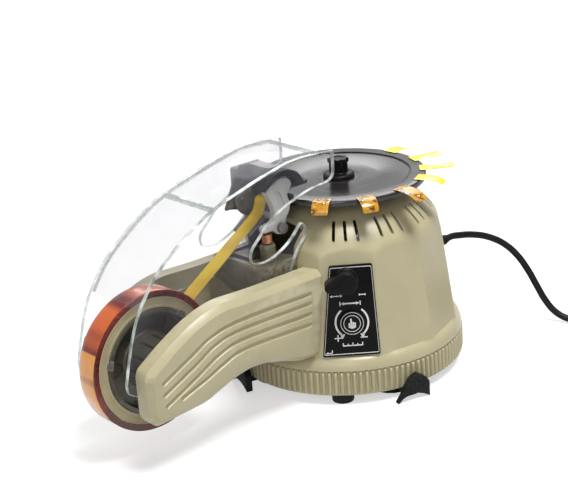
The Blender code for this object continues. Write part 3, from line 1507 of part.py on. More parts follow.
def make_switch(switch_frame, axis):
    low, high = switch_up - switch_half_height, switch_up + switch_half_height
    top = seat_gap + switch_flange
    shape = box((-switch_half_width, low, seat_gap), (switch_half_width, high, top))
    housing = add_piece("switch_housing", shape, "black_plastic", switch_frame)
    soften(housing, switch_flange / 3, 1)
    body = box((-switch_half_width + switch_wall, low + switch_wall, -switch_depth),
               (switch_half_width - switch_wall, high - switch_wall, top - switch_flange / 2))
    shape_with(housing, add_cutter("switch_body", body, switch_frame), "UNION")
    well = box((-switch_half_width + switch_inset, low + switch_inset, -switch_depth + switch_wall),
               (switch_half_width - switch_inset, high - switch_inset, top + overrun))
    shape_with(housing, add_cutter("switch_well", well, switch_frame))
    # The rocker turns about the local x axis, half pressed to one side at rest
    reach = switch_half_height - switch_inset - running_gap * 2
    half = switch_half_width - switch_inset - seat_gap
    outline = from_shares(rocker_outline_shares, 0, 0, reach, top + rocker_proud)
    rocker = extruded(outline, -half, half, "yz")
    tilt = math.radians(rocker_angle / 2)
    add_piece("power_rocker", turned(rocker, Matrix.Rotation(tilt, 4, "X")), "black_plastic", axis)


def make_cord(frame, cord_frame):
    # Everything here lies at rest on the table or is held by the housing
    step = seat_gap + relief_collar
    collar = [(0, seat_gap), (relief_collar_radius, seat_gap), (relief_collar_radius, step),
              (relief_root_radius, step), (relief_tip_radius, relief_length), (0, relief_length)]
    relief = moved(revolved(collar, rod_sides), (0, cord_up, 0))
    add_piece("cord_relief", relief, "black_rubber", cord_frame)
    facet = facet_frame(facet_at(cord_azimuth))
    exit_point = facet @ Vector((0, cord_up, relief_length + seat_gap))
    outward = facet.to_3x3() @ Vector((0, 0, 1))
    centre = Vector((coil_x, coil_y, table_level + cord_radius + coil_lift))
    points, heading = coil_points(centre)
    coil_start = points[0] - heading * cord_radius * 2
    end = coil_start - heading * seat_gap
    route = [exit_point, exit_point + outward * cord_radius * 2, *cord_route(exit_point, end),
             end - heading * cord_radius * 3, end]
    lead = through(route, lead_steps)
    add_tube("cord_lead", lead, cord_radius, "black_rubber", frame, 1)
    tail = points[-1] + heading * coil_tail
    coil = [coil_start, *points, tail]
    add_tube("cord_coil", coil, cord_radius, "black_rubber", frame, 1)
    print("coil gap to itself", round(least_gap(points, coil_steps) - 2 * cord_radius, 5))
    length = relief_length + run_length(lead) + run_length(coil)
    print("cord length", round(length, 4))
    make_tie(frame, centre)
    make_plug(frame, tail + heading * seat_gap, heading)


def cord_route(start, end):
    # The bends between the relief and the coil, with heights above a cord lying on the table
    rest = table_level + cord_radius
    for along, across, up in cord_route_shares:
        yield Vector((start.x + along * (end.x - start.x), start.y + across * (end.y - start.y),
                      rest + up * (start.z - rest)))


def coil_points(centre):
    # Two layers: the turns spiral in, climb one layer in half a turn and spiral out again
    climb_start = coil_turns / 2 - 1 / 4
    points = []
    for k in range(coil_turns * coil_steps + 1):
        turns = k / coil_steps
        radius = coil_outer_radius - coil_pitch * min(turns, coil_turns - turns)
        climb = min(1, max(0, 2 * (turns - climb_start)))
        height = coil_pitch * (3 * climb ** 2 - 2 * climb ** 3)
        angle = math.radians(coil_turn) + math.tau * turns
        points.append(centre + Vector((radius * math.cos(angle), radius * math.sin(angle), height)))
    angle = math.radians(coil_turn)
    return points, Vector((-math.sin(angle), math.cos(angle), 0))


def least_gap(points, skip):
    best = 1.0
    for i, point in enumerate(points):
        for other in points[i + skip // 2:]:
            best = min(best, (point - other).length)
    return best


def run_length(points):
    return sum((b - a).length for a, b in zip(points, points[1:]))


def make_tie(frame, centre):
    # A band round all the turns, at one place on the coil
    clear = cord_radius + seat_gap * 2
    inner = coil_outer_radius - coil_pitch * coil_turns / 2 - clear
    outer = coil_outer_radius + clear
    low, high = -clear, coil_pitch + clear
    loop = [(inner, low), (outer, low), (outer, high), (inner, high)]
    grown = [(inner - tie_band, low - tie_band), (outer + tie_band, low - tie_band),
             (outer + tie_band, high + tie_band), (inner - tie_band, high + tie_band)]
    place = Matrix.Translation(centre) @ Matrix.Rotation(math.radians(tie_turn), 4, "Z")
    outline = filleted(grown, cord_radius + tie_band)
    band = add_piece("cord_tie", turned(extruded(outline, -tie_half_width, tie_half_width), place),
                     "black_plastic", frame)
    reach = tie_half_width + overrun
    hole = turned(extruded(filleted(loop, cord_radius), -reach, reach), place)
    shape_with(band, add_cutter("tie_hole", hole, frame))


def make_plug(frame, start, heading):
    # A flat two-pin plug: a tapered tail over the cord, the body and the pins
    side = Vector((0, 0, 1)).cross(heading)
    place = Matrix((heading, side, Vector((0, 0, 1)))).transposed().to_4x4()
    place.translation = start
    rise = start.z - table_level
    outline = from_shares(plug_outline_shares, plug_tail, 0, plug_length, plug_half_width)
    body = extruded(filleted(outline, plug_corner), -rise, rise, "xy")
    plug = add_piece("cord_plug", turned(body, place), "black_rubber", frame)
    tail = rod((0, 0, 0), (plug_tail + plug_corner, 0, 0), plug_tail_start, pin_sides, plug_tail_end)
    shape_with(plug, add_cutter("plug_tail_form", turned(tail, place), frame), "UNION")
    front = plug_tail + plug_length
    pins = [rod((front - plug_corner, y, 0), (front + pin_length, y, 0), pin_radius, pin_sides)
            for y in (-pin_spread, pin_spread)]
    shape_with(plug, add_cutter("plug_pins", turned(together(*pins), place), frame), "UNION")


def outer_reach():
    # How far the release tabs reach along x and y
    angle = math.radians(cup_turn)
    return tab_reach * math.cos(angle) + tab_half_width * abs(math.sin(angle))


def main():
    clear_objects()
    back = outer_reach()
    front = reel_x - film_radius
    origin = Matrix.Translation((-(front + back) / 2, 0, foot_height))
    frame = add_empty("machine_frame", None, origin)
    panel_frame = add_empty("panel_frame", frame, facet_frame(0))
    switch_frame = add_empty("switch_frame", frame, facet_frame(switch_facet))
    cord_frame = add_empty("cord_frame", frame, facet_frame(facet_at(cord_azimuth)))
    clearance = housing_form("housing_clearance", seat_gap, frame)

    make_base_pan(frame)
    make_body_cover(frame, panel_frame, switch_frame, cord_frame)
    make_control_plate(panel_frame)
    knob_place = Matrix.Translation((width_knob_across, width_knob_up, 0))
    make_width_knob(add_empty("width_knob_axis", panel_frame, knob_place))
    ring_place = Matrix.Translation((length_across, length_up, 0))
    make_length_controls(add_empty("length_ring_axis", panel_frame, ring_place),
                         add_empty("enter_button_axis", panel_frame, ring_place))
    make_control_board(panel_frame)
    make_arm(-1, "arm_near", frame, clearance)
    make_arm(1, "arm_far", frame, clearance)

    reel_place = Matrix.Translation((reel_x, 0, reel_z))
    make_reel(frame, add_empty("reel_axis", frame, reel_place))
    make_cover(add_empty("cover_axis", frame, reel_place))
    make_tape_web(frame)

    make_head_base(frame, clearance)
    make_head_bracket(frame)
    make_guide_plate(frame)
    make_feed_roller(add_empty("feed_axis", frame, Matrix.Translation((feed_x, 0, feed_z))))
    lever_axis = add_empty("lever_axis", frame, Matrix.Translation((lever_x, 0, lever_z)))
    roller_place = Matrix.Translation((press_roller_x - lever_x, 0, press_roller_height - lever_z))
    make_press_lever(lever_axis, add_empty("press_roller_axis", lever_axis, roller_place))
    make_lever_pin(frame)
    make_lever_spring(frame)
    make_cutter(add_empty("cutter_axis", frame))

    turntable_axis = add_empty("turntable_axis", frame, Matrix.Translation((0, 0, disc_top)))
    make_turntable(turntable_axis)
    make_drive(add_empty("pinion_axis", frame, Matrix.Translation(motor_place())), frame)
    make_tape_pieces(turntable_axis)

    make_feet(frame)
    make_electronics(frame)
    rocker_place = Matrix.Translation((0, switch_up, 0))
    make_switch(switch_frame, add_empty("rocker_axis", switch_frame, rocker_place))
    make_cord(frame, cord_frame)


main()
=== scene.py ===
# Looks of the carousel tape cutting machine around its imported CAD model. Lengths are in metres.
# Machine places count from the turntable's axis and the lower edge of the ribbed skirt.
import json
import math

import bmesh
import bpy
from mathutils import Matrix, Vector


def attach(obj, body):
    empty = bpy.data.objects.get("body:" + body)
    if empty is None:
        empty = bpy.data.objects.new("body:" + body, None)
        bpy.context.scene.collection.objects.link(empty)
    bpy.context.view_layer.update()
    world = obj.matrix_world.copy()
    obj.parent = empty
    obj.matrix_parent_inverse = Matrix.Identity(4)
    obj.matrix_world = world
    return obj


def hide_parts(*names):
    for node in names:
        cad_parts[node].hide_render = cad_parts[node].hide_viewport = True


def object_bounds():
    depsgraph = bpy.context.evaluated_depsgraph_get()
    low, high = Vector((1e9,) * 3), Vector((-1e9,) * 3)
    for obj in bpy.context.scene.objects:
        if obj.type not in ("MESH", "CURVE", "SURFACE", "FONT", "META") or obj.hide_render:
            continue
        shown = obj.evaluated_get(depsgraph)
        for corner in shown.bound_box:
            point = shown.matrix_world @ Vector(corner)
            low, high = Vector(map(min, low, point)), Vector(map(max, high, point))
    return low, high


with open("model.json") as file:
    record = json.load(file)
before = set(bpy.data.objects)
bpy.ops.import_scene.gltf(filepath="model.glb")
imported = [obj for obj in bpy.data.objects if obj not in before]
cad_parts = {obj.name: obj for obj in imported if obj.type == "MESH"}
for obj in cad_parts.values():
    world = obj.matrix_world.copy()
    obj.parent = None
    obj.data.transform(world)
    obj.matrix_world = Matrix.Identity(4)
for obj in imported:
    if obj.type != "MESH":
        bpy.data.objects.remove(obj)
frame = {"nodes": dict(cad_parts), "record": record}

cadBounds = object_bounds()
nodes = frame["nodes"]
bodyOf = {node: body for body, members in frame["record"]["behaviour"]["bodies"].items()
          for node in members}
machineX = 0.0718
machineLift = 0.0070
reelX, reelZ = -0.1897, 0.0584


def linked(name, data):
    thing = bpy.data.objects.new(name, data)
    bpy.context.scene.collection.objects.link(thing)
    return thing


def makeCamera():
    v = cameraValues
    azimuth, elevation, roll = (math.radians(v[k]) for k in ("azimuth", "elevation", "roll"))
    back = Vector((math.sin(azimuth) * math.cos(elevation), -math.cos(azimuth) * math.cos(elevation),
                   math.sin(elevation)))
    right = (-back).cross(Vector((0, 0, 1))).normalized()
    up = right.cross(-back)
    rolledRight = right * math.cos(roll) + up * math.sin(roll)
    rolledUp = up * math.cos(roll) - right * math.sin(roll)
    data = bpy.data.cameras.new("photoCamera")
    data.sensor_fit = "HORIZONTAL"
    data.sensor_width = 36
    data.lens = v["focalPixels"] * data.sensor_width / v["imageWidth"]
    data.clip_start = 0.01
    data.clip_end = 20
    camera = linked("photoCamera", data)
    place = Matrix((rolledRight, rolledUp, back)).transposed().to_4x4()
    place.translation = Vector(v["target"]) + back * v["distance"]
    camera.matrix_world = place
    bpy.context.scene.camera = camera


cameraValues = {
    "azimuth": -39.86, "elevation": 20.27, "roll": -4.22, "distance": 1.0961,
    "target": (0.0134, 0, 0.1122), "focalPixels": 1486.6, "imageWidth": 568,
}
makeCamera()


# Shader sums and nodes

class Wire:
    # A node socket that can stand in Python sums: each sum adds its own Math node
    def __init__(self, tree, socket=None):
        self.tree = tree
        self.socket = socket

    def node(self, kind, settings=None, inputs=None, output=0):
        # Any other node: its settings come first, then the values or links of its sockets
        made = self.tree.nodes.new(kind)
        for name, value in (settings or {}).items():
            setattr(made, name, value)
        self.fill(made, inputs or {})
        return Wire(self.tree, made.outputs[output])

    def fill(self, made, inputs):
        for name, value in inputs.items():
            if isinstance(value, Wire):
                self.tree.links.new(value.socket, made.inputs[name])
            else:
                made.inputs[name].default_value = value

    def sum(self, operation, first, second):
        return self.node("ShaderNodeMath", {"operation": operation}, {0: first, 1: second})

    def __add__(self, other):
        return self.sum("ADD", self, other)

    def __radd__(self, other):
        return self.sum("ADD", other, self)

    def __sub__(self, other):
        return self.sum("SUBTRACT", self, other)

    def __rsub__(self, other):
        return self.sum("SUBTRACT", other, self)

    def __mul__(self, other):
        return self.sum("MULTIPLY", self, other)

    def __rmul__(self, other):
        return self.sum("MULTIPLY", other, self)

    def above(self, level, softness):
        # 0 below the level and 1 above it
        return self.held((self - level) * (1 / softness) + 0.5)

    def clouds(self, place, scale, detail=2.0):
        return self.node("ShaderNodeTexNoise", {}, {"Vector": place, "Scale": scale, "Detail": detail})

    def blended(self, mask, first, second):
        colours = [c if isinstance(c, Wire) else (*c, 1) for c in (first, second)]
        return self.node("ShaderNodeMix", {"data_type": "RGBA"}, {0: mask, 6: colours[0], 7: colours[1]}, 2)

    def stretched(self, place, scale):
        return self.node("ShaderNodeMapping", {}, {"Vector": place, "Scale": scale})

    def held(self, value):
        return self.node("ShaderNodeClamp", {}, {0: value})

    def bumped(self, height, distance=0.001):
        return self.node("ShaderNodeBump", {}, {"Height": height, "Distance": distance, "Strength": 1.0})


def startFinish(name, fixed):
    # A Principled material: its fixed values go straight on the shader's own sockets
    finish = bpy.data.materials.new(name)
    finish.use_nodes = True
    shader = finish.node_tree.nodes["Principled BSDF"]
    wire = Wire(finish.node_tree)
    wire.fill(shader, fixed)
    return finish, wire, shader


def placeOn(wire):
    return wire.node("ShaderNodeTexCoord", output="Object")


def mouldedFinish(name, changes):
    # Moulded plastic or rubber: cloudy colour, fine grain, scuffs, edges rubbed by hands
    v = {**plainMoulded, **changes}
    finish, wire, shader = startFinish(name, {"Specular IOR Level": v["shine"]})
    place = placeOn(wire)
    cloud = wire.clouds(place, v["cloudScale"], 4.0)
    grain = wire.clouds(place, v["grainScale"], 3.0)
    scuff = wire.clouds(place, v["cloudScale"] * 6, 5.0)
    edge = wire.node("ShaderNodeNewGeometry", output="Pointiness").above(v["edgeStart"], 0.1)
    rubbed = edge * scuff.above(0.45, 0.25) * v["rubbed"]
    colour = wire.blended(cloud.above(0.5, 0.4), v["colour"], v["cloudColour"])
    colour = wire.blended(scuff.above(0.62, 0.1) * v["marks"], colour, v["rubbedColour"])
    colour = wire.blended(rubbed, colour, v["rubbedColour"])
    wire.fill(shader, {
        "Base Color": colour,
        "Roughness": cloud * v["roughSpread"] + grain * v["roughSpread"] + v["rough"] + rubbed * 0.1,
        "Normal": wire.bumped(grain * v["grain"] + cloud * v["waviness"]),
    })
    return finish


def metalFinish(name, v):
    # Drawn or turned metal: fine lines along one axis, dull and bright patches
    finish, wire, shader = startFinish(name, {"Metallic": v["metallic"]})
    place = placeOn(wire)
    drawn = wire.clouds(wire.stretched(place, v["lineScale"]), 1.0, 4.0)
    patch = wire.clouds(place, 260.0, 4.0)
    edge = wire.node("ShaderNodeNewGeometry", output="Pointiness").above(0.56, 0.1)
    colour = wire.blended(patch.above(0.52, 0.35), v["colour"], v["dullColour"])
    colour = wire.blended(edge * 0.6, colour, v["edgeColour"])
    wire.fill(shader, {
        "Base Color": colour,
        "Roughness": drawn * 0.18 + patch * 0.14 + v["rough"],
        "Normal": wire.bumped(drawn * v["grain"]),
    })
    return finish


plainMoulded = {
    "shine": 0.5, "cloudScale": 80.0, "grainScale": 2200.0, "grain": 0.02, "waviness": 0.03, "rough": 0.22,
    "roughSpread": 0.12, "edgeStart": 0.55, "rubbed": 0.5, "marks": 0.15,
}
mouldedValues = {
    "warmGrey": {
        "colour": (0.465, 0.418, 0.258), "cloudColour": (0.42, 0.375, 0.225),
        "rubbedColour": (0.64, 0.585, 0.42),
        "cloudScale": 28.0, "grainScale": 1500.0, "grain": 0.018, "waviness": 0.05, "rough": 0.25,
        "roughSpread": 0.07, "edgeStart": 0.56, "marks": 0.05,
    },
    "black": {
        "colour": (0.003, 0.003, 0.003), "cloudColour": (0.005, 0.005, 0.005),
        "rubbedColour": (0.05, 0.048, 0.045),
        "shine": 0.1, "cloudScale": 60.0, "grainScale": 2600.0, "waviness": 0.02, "edgeStart": 0.56,
        "rubbed": 0.35, "marks": 0.12,
    },
    "rubber": {
        "colour": (0.005, 0.005, 0.005), "cloudColour": (0.009, 0.009, 0.008),
        "rubbedColour": (0.045, 0.044, 0.042),
        "shine": 0.12, "cloudScale": 90.0, "grain": 0.04, "rough": 0.45, "roughSpread": 0.14, "marks": 0.25,
    },
    "plate": {
        "colour": (0.002, 0.002, 0.002), "cloudColour": (0.003, 0.003, 0.003),
        "rubbedColour": (0.02, 0.02, 0.02),
        "shine": 0.1, "cloudScale": 50.0, "grainScale": 3200.0, "grain": 0.012, "waviness": 0.01,
        "rough": 0.16,
        "roughSpread": 0.10, "edgeStart": 0.6, "rubbed": 0.3, "marks": 0.08,
    },
    "ink": {
        "colour": (0.80, 0.80, 0.78), "cloudColour": (0.72, 0.72, 0.70), "rubbedColour": (0.5, 0.5, 0.48),
        "cloudScale": 300.0, "grainScale": 4000.0, "grain": 0.01, "waviness": 0.0, "rough": 0.4,
        "roughSpread": 0.08, "edgeStart": 0.7, "rubbed": 0.2, "marks": 0.25,
    },
    "lightGrey": {
        "colour": (0.46, 0.46, 0.45), "cloudColour": (0.40, 0.40, 0.39), "rubbedColour": (0.62, 0.62, 0.6),
        "rubbed": 0.6, "marks": 0.2,
    },
    "darkGrey": {
        "colour": (0.11, 0.108, 0.105), "cloudColour": (0.085, 0.083, 0.08),
        "rubbedColour": (0.24, 0.235, 0.23),
        "rough": 0.3,
    },
    "hubOlive": {
        "colour": (0.075, 0.069, 0.043), "cloudColour": (0.046, 0.042, 0.027),
        "rubbedColour": (0.15, 0.14, 0.11),
        "cloudScale": 70.0, "grainScale": 2000.0, "rough": 0.3,
    },
    # The head base's beige plastic, darkened as painted shade because it stands in shadow between the arms
    "headOlive": {
        "colour": (0.125, 0.110, 0.060), "cloudColour": (0.075, 0.066, 0.036),
        "rubbedColour": (0.42, 0.38, 0.26),
        "cloudScale": 60.0, "grainScale": 1500.0, "waviness": 0.04, "rough": 0.28, "roughSpread": 0.08,
        "edgeStart": 0.56, "marks": 0.12,
    },
    "core": {
        "colour": (0.41, 0.35, 0.21), "cloudColour": (0.34, 0.285, 0.165),
        "rubbedColour": (0.58, 0.53, 0.41),
        "cloudScale": 90.0, "grainScale": 1400.0, "grain": 0.05, "waviness": 0.04, "rough": 0.45,
        "edgeStart": 0.56, "rubbed": 0.4, "marks": 0.1,
    },
    "cordSheath": {
        "colour": (0.008, 0.007, 0.007), "cloudColour": (0.012, 0.011, 0.011),
        "rubbedColour": (0.05, 0.05, 0.05),
        "shine": 0.12, "cloudScale": 60.0, "grainScale": 1800.0, "grain": 0.03, "waviness": 0.02,
        "rough": 0.2,
        "roughSpread": 0.10, "edgeStart": 0.7, "rubbed": 0.2, "marks": 0.12,
    },
}
metalValues = {
    "darkSteel": {
        "colour": (0.095, 0.082, 0.078), "dullColour": (0.055, 0.046, 0.042),
        "edgeColour": (0.34, 0.32, 0.30),
        "metallic": 0.5, "lineScale": (120.0, 120.0, 2600.0), "grain": 0.04, "rough": 0.26,
    },
    "steel": {
        "colour": (0.56, 0.55, 0.54), "dullColour": (0.40, 0.39, 0.37), "edgeColour": (0.78, 0.77, 0.75),
        "metallic": 0.85, "lineScale": (120.0, 120.0, 2600.0), "grain": 0.03, "rough": 0.2,
    },
    "brass": {
        "colour": (0.50, 0.33, 0.13), "dullColour": (0.32, 0.20, 0.08), "edgeColour": (0.76, 0.56, 0.28),
        "metallic": 0.95, "lineScale": (2400.0, 200.0, 200.0), "grain": 0.03, "rough": 0.18,
    },
    "copper": {
        "colour": (0.52, 0.20, 0.10), "dullColour": (0.30, 0.10, 0.05), "edgeColour": (0.80, 0.46, 0.30),
        "metallic": 0.9, "lineScale": (900.0, 900.0, 900.0), "grain": 0.03, "rough": 0.2,
    },
}
finishes = {name: mouldedFinish(name, v) for name, v in mouldedValues.items()}
finishes.update({name: metalFinish(name, v) for name, v in metalValues.items()})


def discFinish(v):
    # The turntable's plastic: fine turned rings about its axis under a satin skin
    finish, wire, shader = startFinish("discPlastic", {})
    place = placeOn(wire)
    away = wire.node("ShaderNodeVectorMath", {"operation": "SUBTRACT"}, {0: place, 1: (machineX, 0, 0)})
    flat = wire.node("ShaderNodeVectorMath", {"operation": "MULTIPLY"}, {0: away, 1: (1, 1, 0)})
    reach = wire.node("ShaderNodeVectorMath", {"operation": "LENGTH"}, {0: flat}, "Value")
    rings = wire.sum("SINE", reach * v["ringCount"], 0.0)
    cloud = wire.clouds(place, 45.0, 4.0)
    dust = wire.clouds(place, 1600.0, 3.0)
    colour = wire.blended(cloud.above(0.5, 0.5), v["colour"], v["cloudColour"])
    colour = wire.blended(dust.above(0.68, 0.05) * 0.3, colour, v["dustColour"])
    wire.fill(shader, {
        "Base Color": colour,
        "Roughness": cloud * 0.10 + dust * 0.06 + v["rough"],
        "Normal": wire.bumped(rings * v["ringDepth"] + dust * 0.012),
    })
    return finish


discValues = {
    "colour": (0.013, 0.010, 0.011), "cloudColour": (0.021, 0.017, 0.018),
    "dustColour": (0.08, 0.075, 0.075),
    "ringCount": 5200.0, "ringDepth": 0.004, "rough": 0.09,
}
finishes["disc"] = discFinish(discValues)


def filmFinish(name, v):
    # Glossy adhesive film: thickness streaks along it, air marks, a hard shine, and broad cloudy patches that
    # paint its reflections: dark bands in the deep colour and highlights in the pale colour
    finish, wire, shader = startFinish(name, {"Coat Roughness": 0.05, "IOR": 1.5})
    place = placeOn(wire)
    streak = wire.clouds(wire.stretched(place, v["streakScale"]), 1.0, 4.0)
    air = wire.clouds(place, 320.0, 4.0)
    # Painted light: this broad cloud paints dark reflection bands and shade in the deep colour, and above its
    # highlight level painted highlights and glints in the pale colour
    toneAndPaintedLight = wire.clouds(wire.stretched(place, v["toneAndLightScale"]), 1.0, 1.5)
    colour = wire.blended(toneAndPaintedLight.above(v["toneAndLightLevel"], 0.10), v["colour"], v["deepColour"])
    colour = wire.blended(toneAndPaintedLight.above(v["paintedHighlightLevel"], 0.03), colour, v["paleColour"])
    colour = wire.blended(streak.above(0.62, 0.2) * 0.35, colour, v["deepColour"])
    colour = wire.blended(air.above(0.66, 0.06) * v["air"], colour, v["paleColour"])
    wire.fill(shader, {
        "Base Color": colour,
        "Roughness": streak * 0.12 + v["rough"],
        "Coat Weight": air * 0.3 + v["coat"],
        "Alpha": wire.held(air * 0.12 + v["alpha"]),
        "Normal": wire.bumped(streak * v["streakDepth"] + air * 0.02),
    })
    return finish


filmValues = {
    # The roll's broad dark red and bright orange bands are painted reflections, and its pale patches are a
    # painted highlight
    "rollFilm": {
        "toneAndLightScale": (32.0, 3.0, 32.0), "toneAndLightLevel": 0.50, "paintedHighlightLevel": 0.60, "air": 0.08, "coat": 0.25,
        "colour": (0.60, 0.105, 0.008), "deepColour": (0.19, 0.012, 0.002),
        "paleColour": (0.90, 0.36, 0.06),
        "streakScale": (60.0, 3200.0, 60.0), "streakDepth": 0.04, "rough": 0.08, "alpha": 1.0,
    },
    "rollSide": {
        "toneAndLightScale": (40.0, 40.0, 40.0), "toneAndLightLevel": 0.5, "paintedHighlightLevel": 0.8, "air": 0.10, "coat": 0.10,
        "colour": (0.150, 0.012, 0.006), "deepColour": (0.075, 0.006, 0.003),
        "paleColour": (0.32, 0.06, 0.02),
        "streakScale": (420.0, 60.0, 420.0), "streakDepth": 0.06, "rough": 0.22, "alpha": 1.0,
    },
    "webFilm": {
        "toneAndLightScale": (26.0, 26.0, 26.0), "toneAndLightLevel": 0.56, "paintedHighlightLevel": 0.66, "air": 0.2, "coat": 0.15,
        "colour": (0.80, 0.56, 0.030), "deepColour": (0.62, 0.40, 0.015), "paleColour": (0.95, 0.84, 0.30),
        "streakScale": (80.0, 1400.0, 80.0), "streakDepth": 0.03, "rough": 0.10, "alpha": 0.80,
    },
    # The front strips' film: a darker, more orange copy of the strip film as painted shade, with pale patches
    # as painted glints
    "amberFilm": {
        "toneAndLightScale": (170.0, 170.0, 170.0), "toneAndLightLevel": 0.56, "paintedHighlightLevel": 0.66, "air": 0.4, "coat": 0.10,
        "colour": (0.66, 0.30, 0.004), "deepColour": (0.10, 0.035, 0.001), "paleColour": (0.98, 0.78, 0.22),
        "streakScale": (160.0, 160.0, 160.0), "streakDepth": 0.10, "rough": 0.08, "alpha": 0.80,
    },
    "yellowFilm": {
        "toneAndLightScale": (120.0, 120.0, 120.0), "toneAndLightLevel": 0.58, "paintedHighlightLevel": 0.66, "air": 0.4, "coat": 0.10,
        "colour": (0.90, 0.76, 0.012), "deepColour": (0.76, 0.56, 0.008), "paleColour": (0.98, 0.93, 0.38),
        "streakScale": (160.0, 160.0, 160.0), "streakDepth": 0.08, "rough": 0.12, "alpha": 0.88,
    },
}
finishes.update({name: filmFinish(name, v) for name, v in filmValues.items()})


def clearFinish(name, v):
    # Clear moulded sheet: a little haze and fine scratches; on its cut edges the same cloud paints the glints
    # and dark lines of light bent in the edge, as painted highlights and painted dark lines
    finish, wire, shader = startFinish(name, {"IOR": 1.49})
    place = placeOn(wire)
    hazeAndGlints = wire.clouds(place, v["hazeAndGlintScale"], 4.0)
    scratch = wire.clouds(wire.stretched(place, (90.0, 90.0, 2400.0)), 1.0, 5.0)
    graze = wire.node("ShaderNodeLayerWeight", {}, {"Blend": v["graze"]}, "Facing")
    veil = hazeAndGlints.above(0.5, 0.5) * v["hazeAndGlintAlpha"] + scratch.above(0.72, 0.04) * v["scratch"]
    wire.fill(shader, {
        "Base Color": wire.blended(hazeAndGlints.above(0.5, 0.3), v["colour"], v["hazeAndGlintColour"]),
        "Roughness": scratch * 0.06 + v["rough"],
        "Alpha": wire.held(graze * graze * v["grazeAlpha"] + veil + v["alpha"]),
        "Normal": wire.bumped(hazeAndGlints * v["ripple"] + scratch * 0.01),
    })
    return finish


clearSheet = {
    "colour": (0.12, 0.12, 0.16), "hazeAndGlintColour": (0.30, 0.30, 0.36), "hazeAndGlintScale": 30.0, "hazeAndGlintAlpha": 0.04,
    "graze": 0.35, "grazeAlpha": 0.30, "alpha": 0.075, "rough": 0.03, "ripple": 0.05, "scratch": 0.04,
}
clearValues = {
    "clearSide": {**clearSheet, "hazeAndGlintAlpha": 0.03, "alpha": 0.040},
    "clearFace": clearSheet,
    # Cut edges: a dark grey-green base with bright cloud patches, painted glints and painted dark lines where
    # the edge bends light
    "clearEdge": {
        "colour": (0.26, 0.31, 0.27), "hazeAndGlintColour": (0.95, 1.0, 0.95), "hazeAndGlintScale": 95.0, "hazeAndGlintAlpha": 0.50,
        "graze": 0.4, "grazeAlpha": 0.2, "alpha": 0.46, "rough": 0.05, "ripple": 0.4, "scratch": 0.2,
    },
}
finishes.update({name: clearFinish(name, v) for name, v in clearValues.items()})
print("finishes made")


# Mesh tools

def meshOf(shape, name):
    # The shape with its faces turned outwards, as a mesh; the shape is used up
    bmesh.ops.recalc_face_normals(shape, faces=shape.faces)
    mesh = bpy.data.meshes.new(name)
    shape.to_mesh(mesh)
    shape.free()
    return mesh


def addPiece(name, shape, finish, node="", body="", smooth=32.0):
    # A piece from a shape in machine places, in place of a CAD node or as print on a body
    mesh = meshOf(moved(shape, (machineX, 0, machineLift)), name)
    for each in finish if isinstance(finish, list) else [finish]:
        mesh.materials.append(finishes[each])
    mesh.shade_smooth()
    mesh.set_sharp_from_angle(angle=math.radians(smooth))
    piece = linked(name, mesh)
    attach(piece, body or bodyOf[node])
    if node:
        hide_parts(node)
    return piece


def carved(shape, tool, operation="DIFFERENCE"):
    # The shape after a boolean with the tool
    pair = [linked("carvePart", meshOf(each, "carvePart")) for each in (shape, tool)]
    change = pair[0].modifiers.new("carve", "BOOLEAN")
    change.operation = operation
    change.object = pair[1]
    change.solver = "EXACT"
    result = bmesh.new()
    result.from_object(pair[0], bpy.context.evaluated_depsgraph_get())
    for each in pair:
        mesh = each.data
        bpy.data.objects.remove(each)
        bpy.data.meshes.remove(mesh)
    return result


def joined(*shapes):
    whole = bmesh.new()
    for shape in shapes:
        mesh = meshOf(shape, "joinPart")
        whole.from_mesh(mesh)
        bpy.data.meshes.remove(mesh)
    return whole


def through(points, steps):
    # A smooth curve through the points
    points = [Vector(p) for p in points]
    curve = []
    for i in range(len(points) - 1):
        b, c = points[i], points[i + 1]
        a = points[i - 1] if i else b * 2 - c
        d = points[i + 2] if i + 2 < len(points) else c * 2 - b
        for k in range(steps):
            t = k / steps
            curve.append((b * 2 + (c - a) * t + (a * 2 - b * 5 + c * 4 - d) * t ** 2
                          + (b * 3 - a - c * 3 + d) * t ** 3) / 2)
    return curve + points[-1:]


def rounded(outline, radius, steps=5):
    points = [Vector(p) for p in outline]
    result = []
    for before, corner, after in zip(points[-1:] + points[:-1], points, points[1:] + points[:1]):
        towards, onwards = before - corner, after - corner
        reach = min(radius, towards.length * 0.46, onwards.length * 0.46)
        start = corner + towards.normalized() * reach
        end = corner + onwards.normalized() * reach
        for k in range(steps + 1):
            t = k / steps
            result.append(start * (1 - t) ** 2 + corner * 2 * t * (1 - t) + end * t ** 2)
    return result


def fromShares(shares, left, low, length, height):
    return [(left + along * length, low + up * height) for along, up in shares]


def slab(outline, low, high, axes="xz"):
    # The outline as a plate between two levels along the axis that it doesn't name
    order = {"xy": (0, 1, 2), "xz": (0, 2, 1), "yz": (1, 2, 0)}[axes]
    shape = bmesh.new()
    ends = []
    for level in (low, high):
        ring = []
        for along, across in outline:
            place = Vector()
            place[order[0]], place[order[1]], place[order[2]] = along, across, level
            ring.append(shape.verts.new(place))
        ends.append(ring)
        shape.faces.new(ring)
    for k in range(len(outline)):
        shape.faces.new((ends[0][k - 1], ends[0][k], ends[1][k], ends[1][k - 1]))
    bmesh.ops.recalc_face_normals(shape, faces=shape.faces)
    return shape


def eased(shape, width, segments=3, angle=35.0, chosen=None):
    # Rounds the sharp edges, or those that the test picks
    limit = math.radians(angle)
    edges = [e for e in shape.edges if len(e.link_faces) == 2 and e.calc_face_angle(0) > limit
             and (chosen is None or chosen(e))]
    bmesh.ops.bevel(shape, geom=edges, offset=width, offset_type="OFFSET", segments=segments, profile=0.5,
                    affect="EDGES", clamp_overlap=True)
    return shape


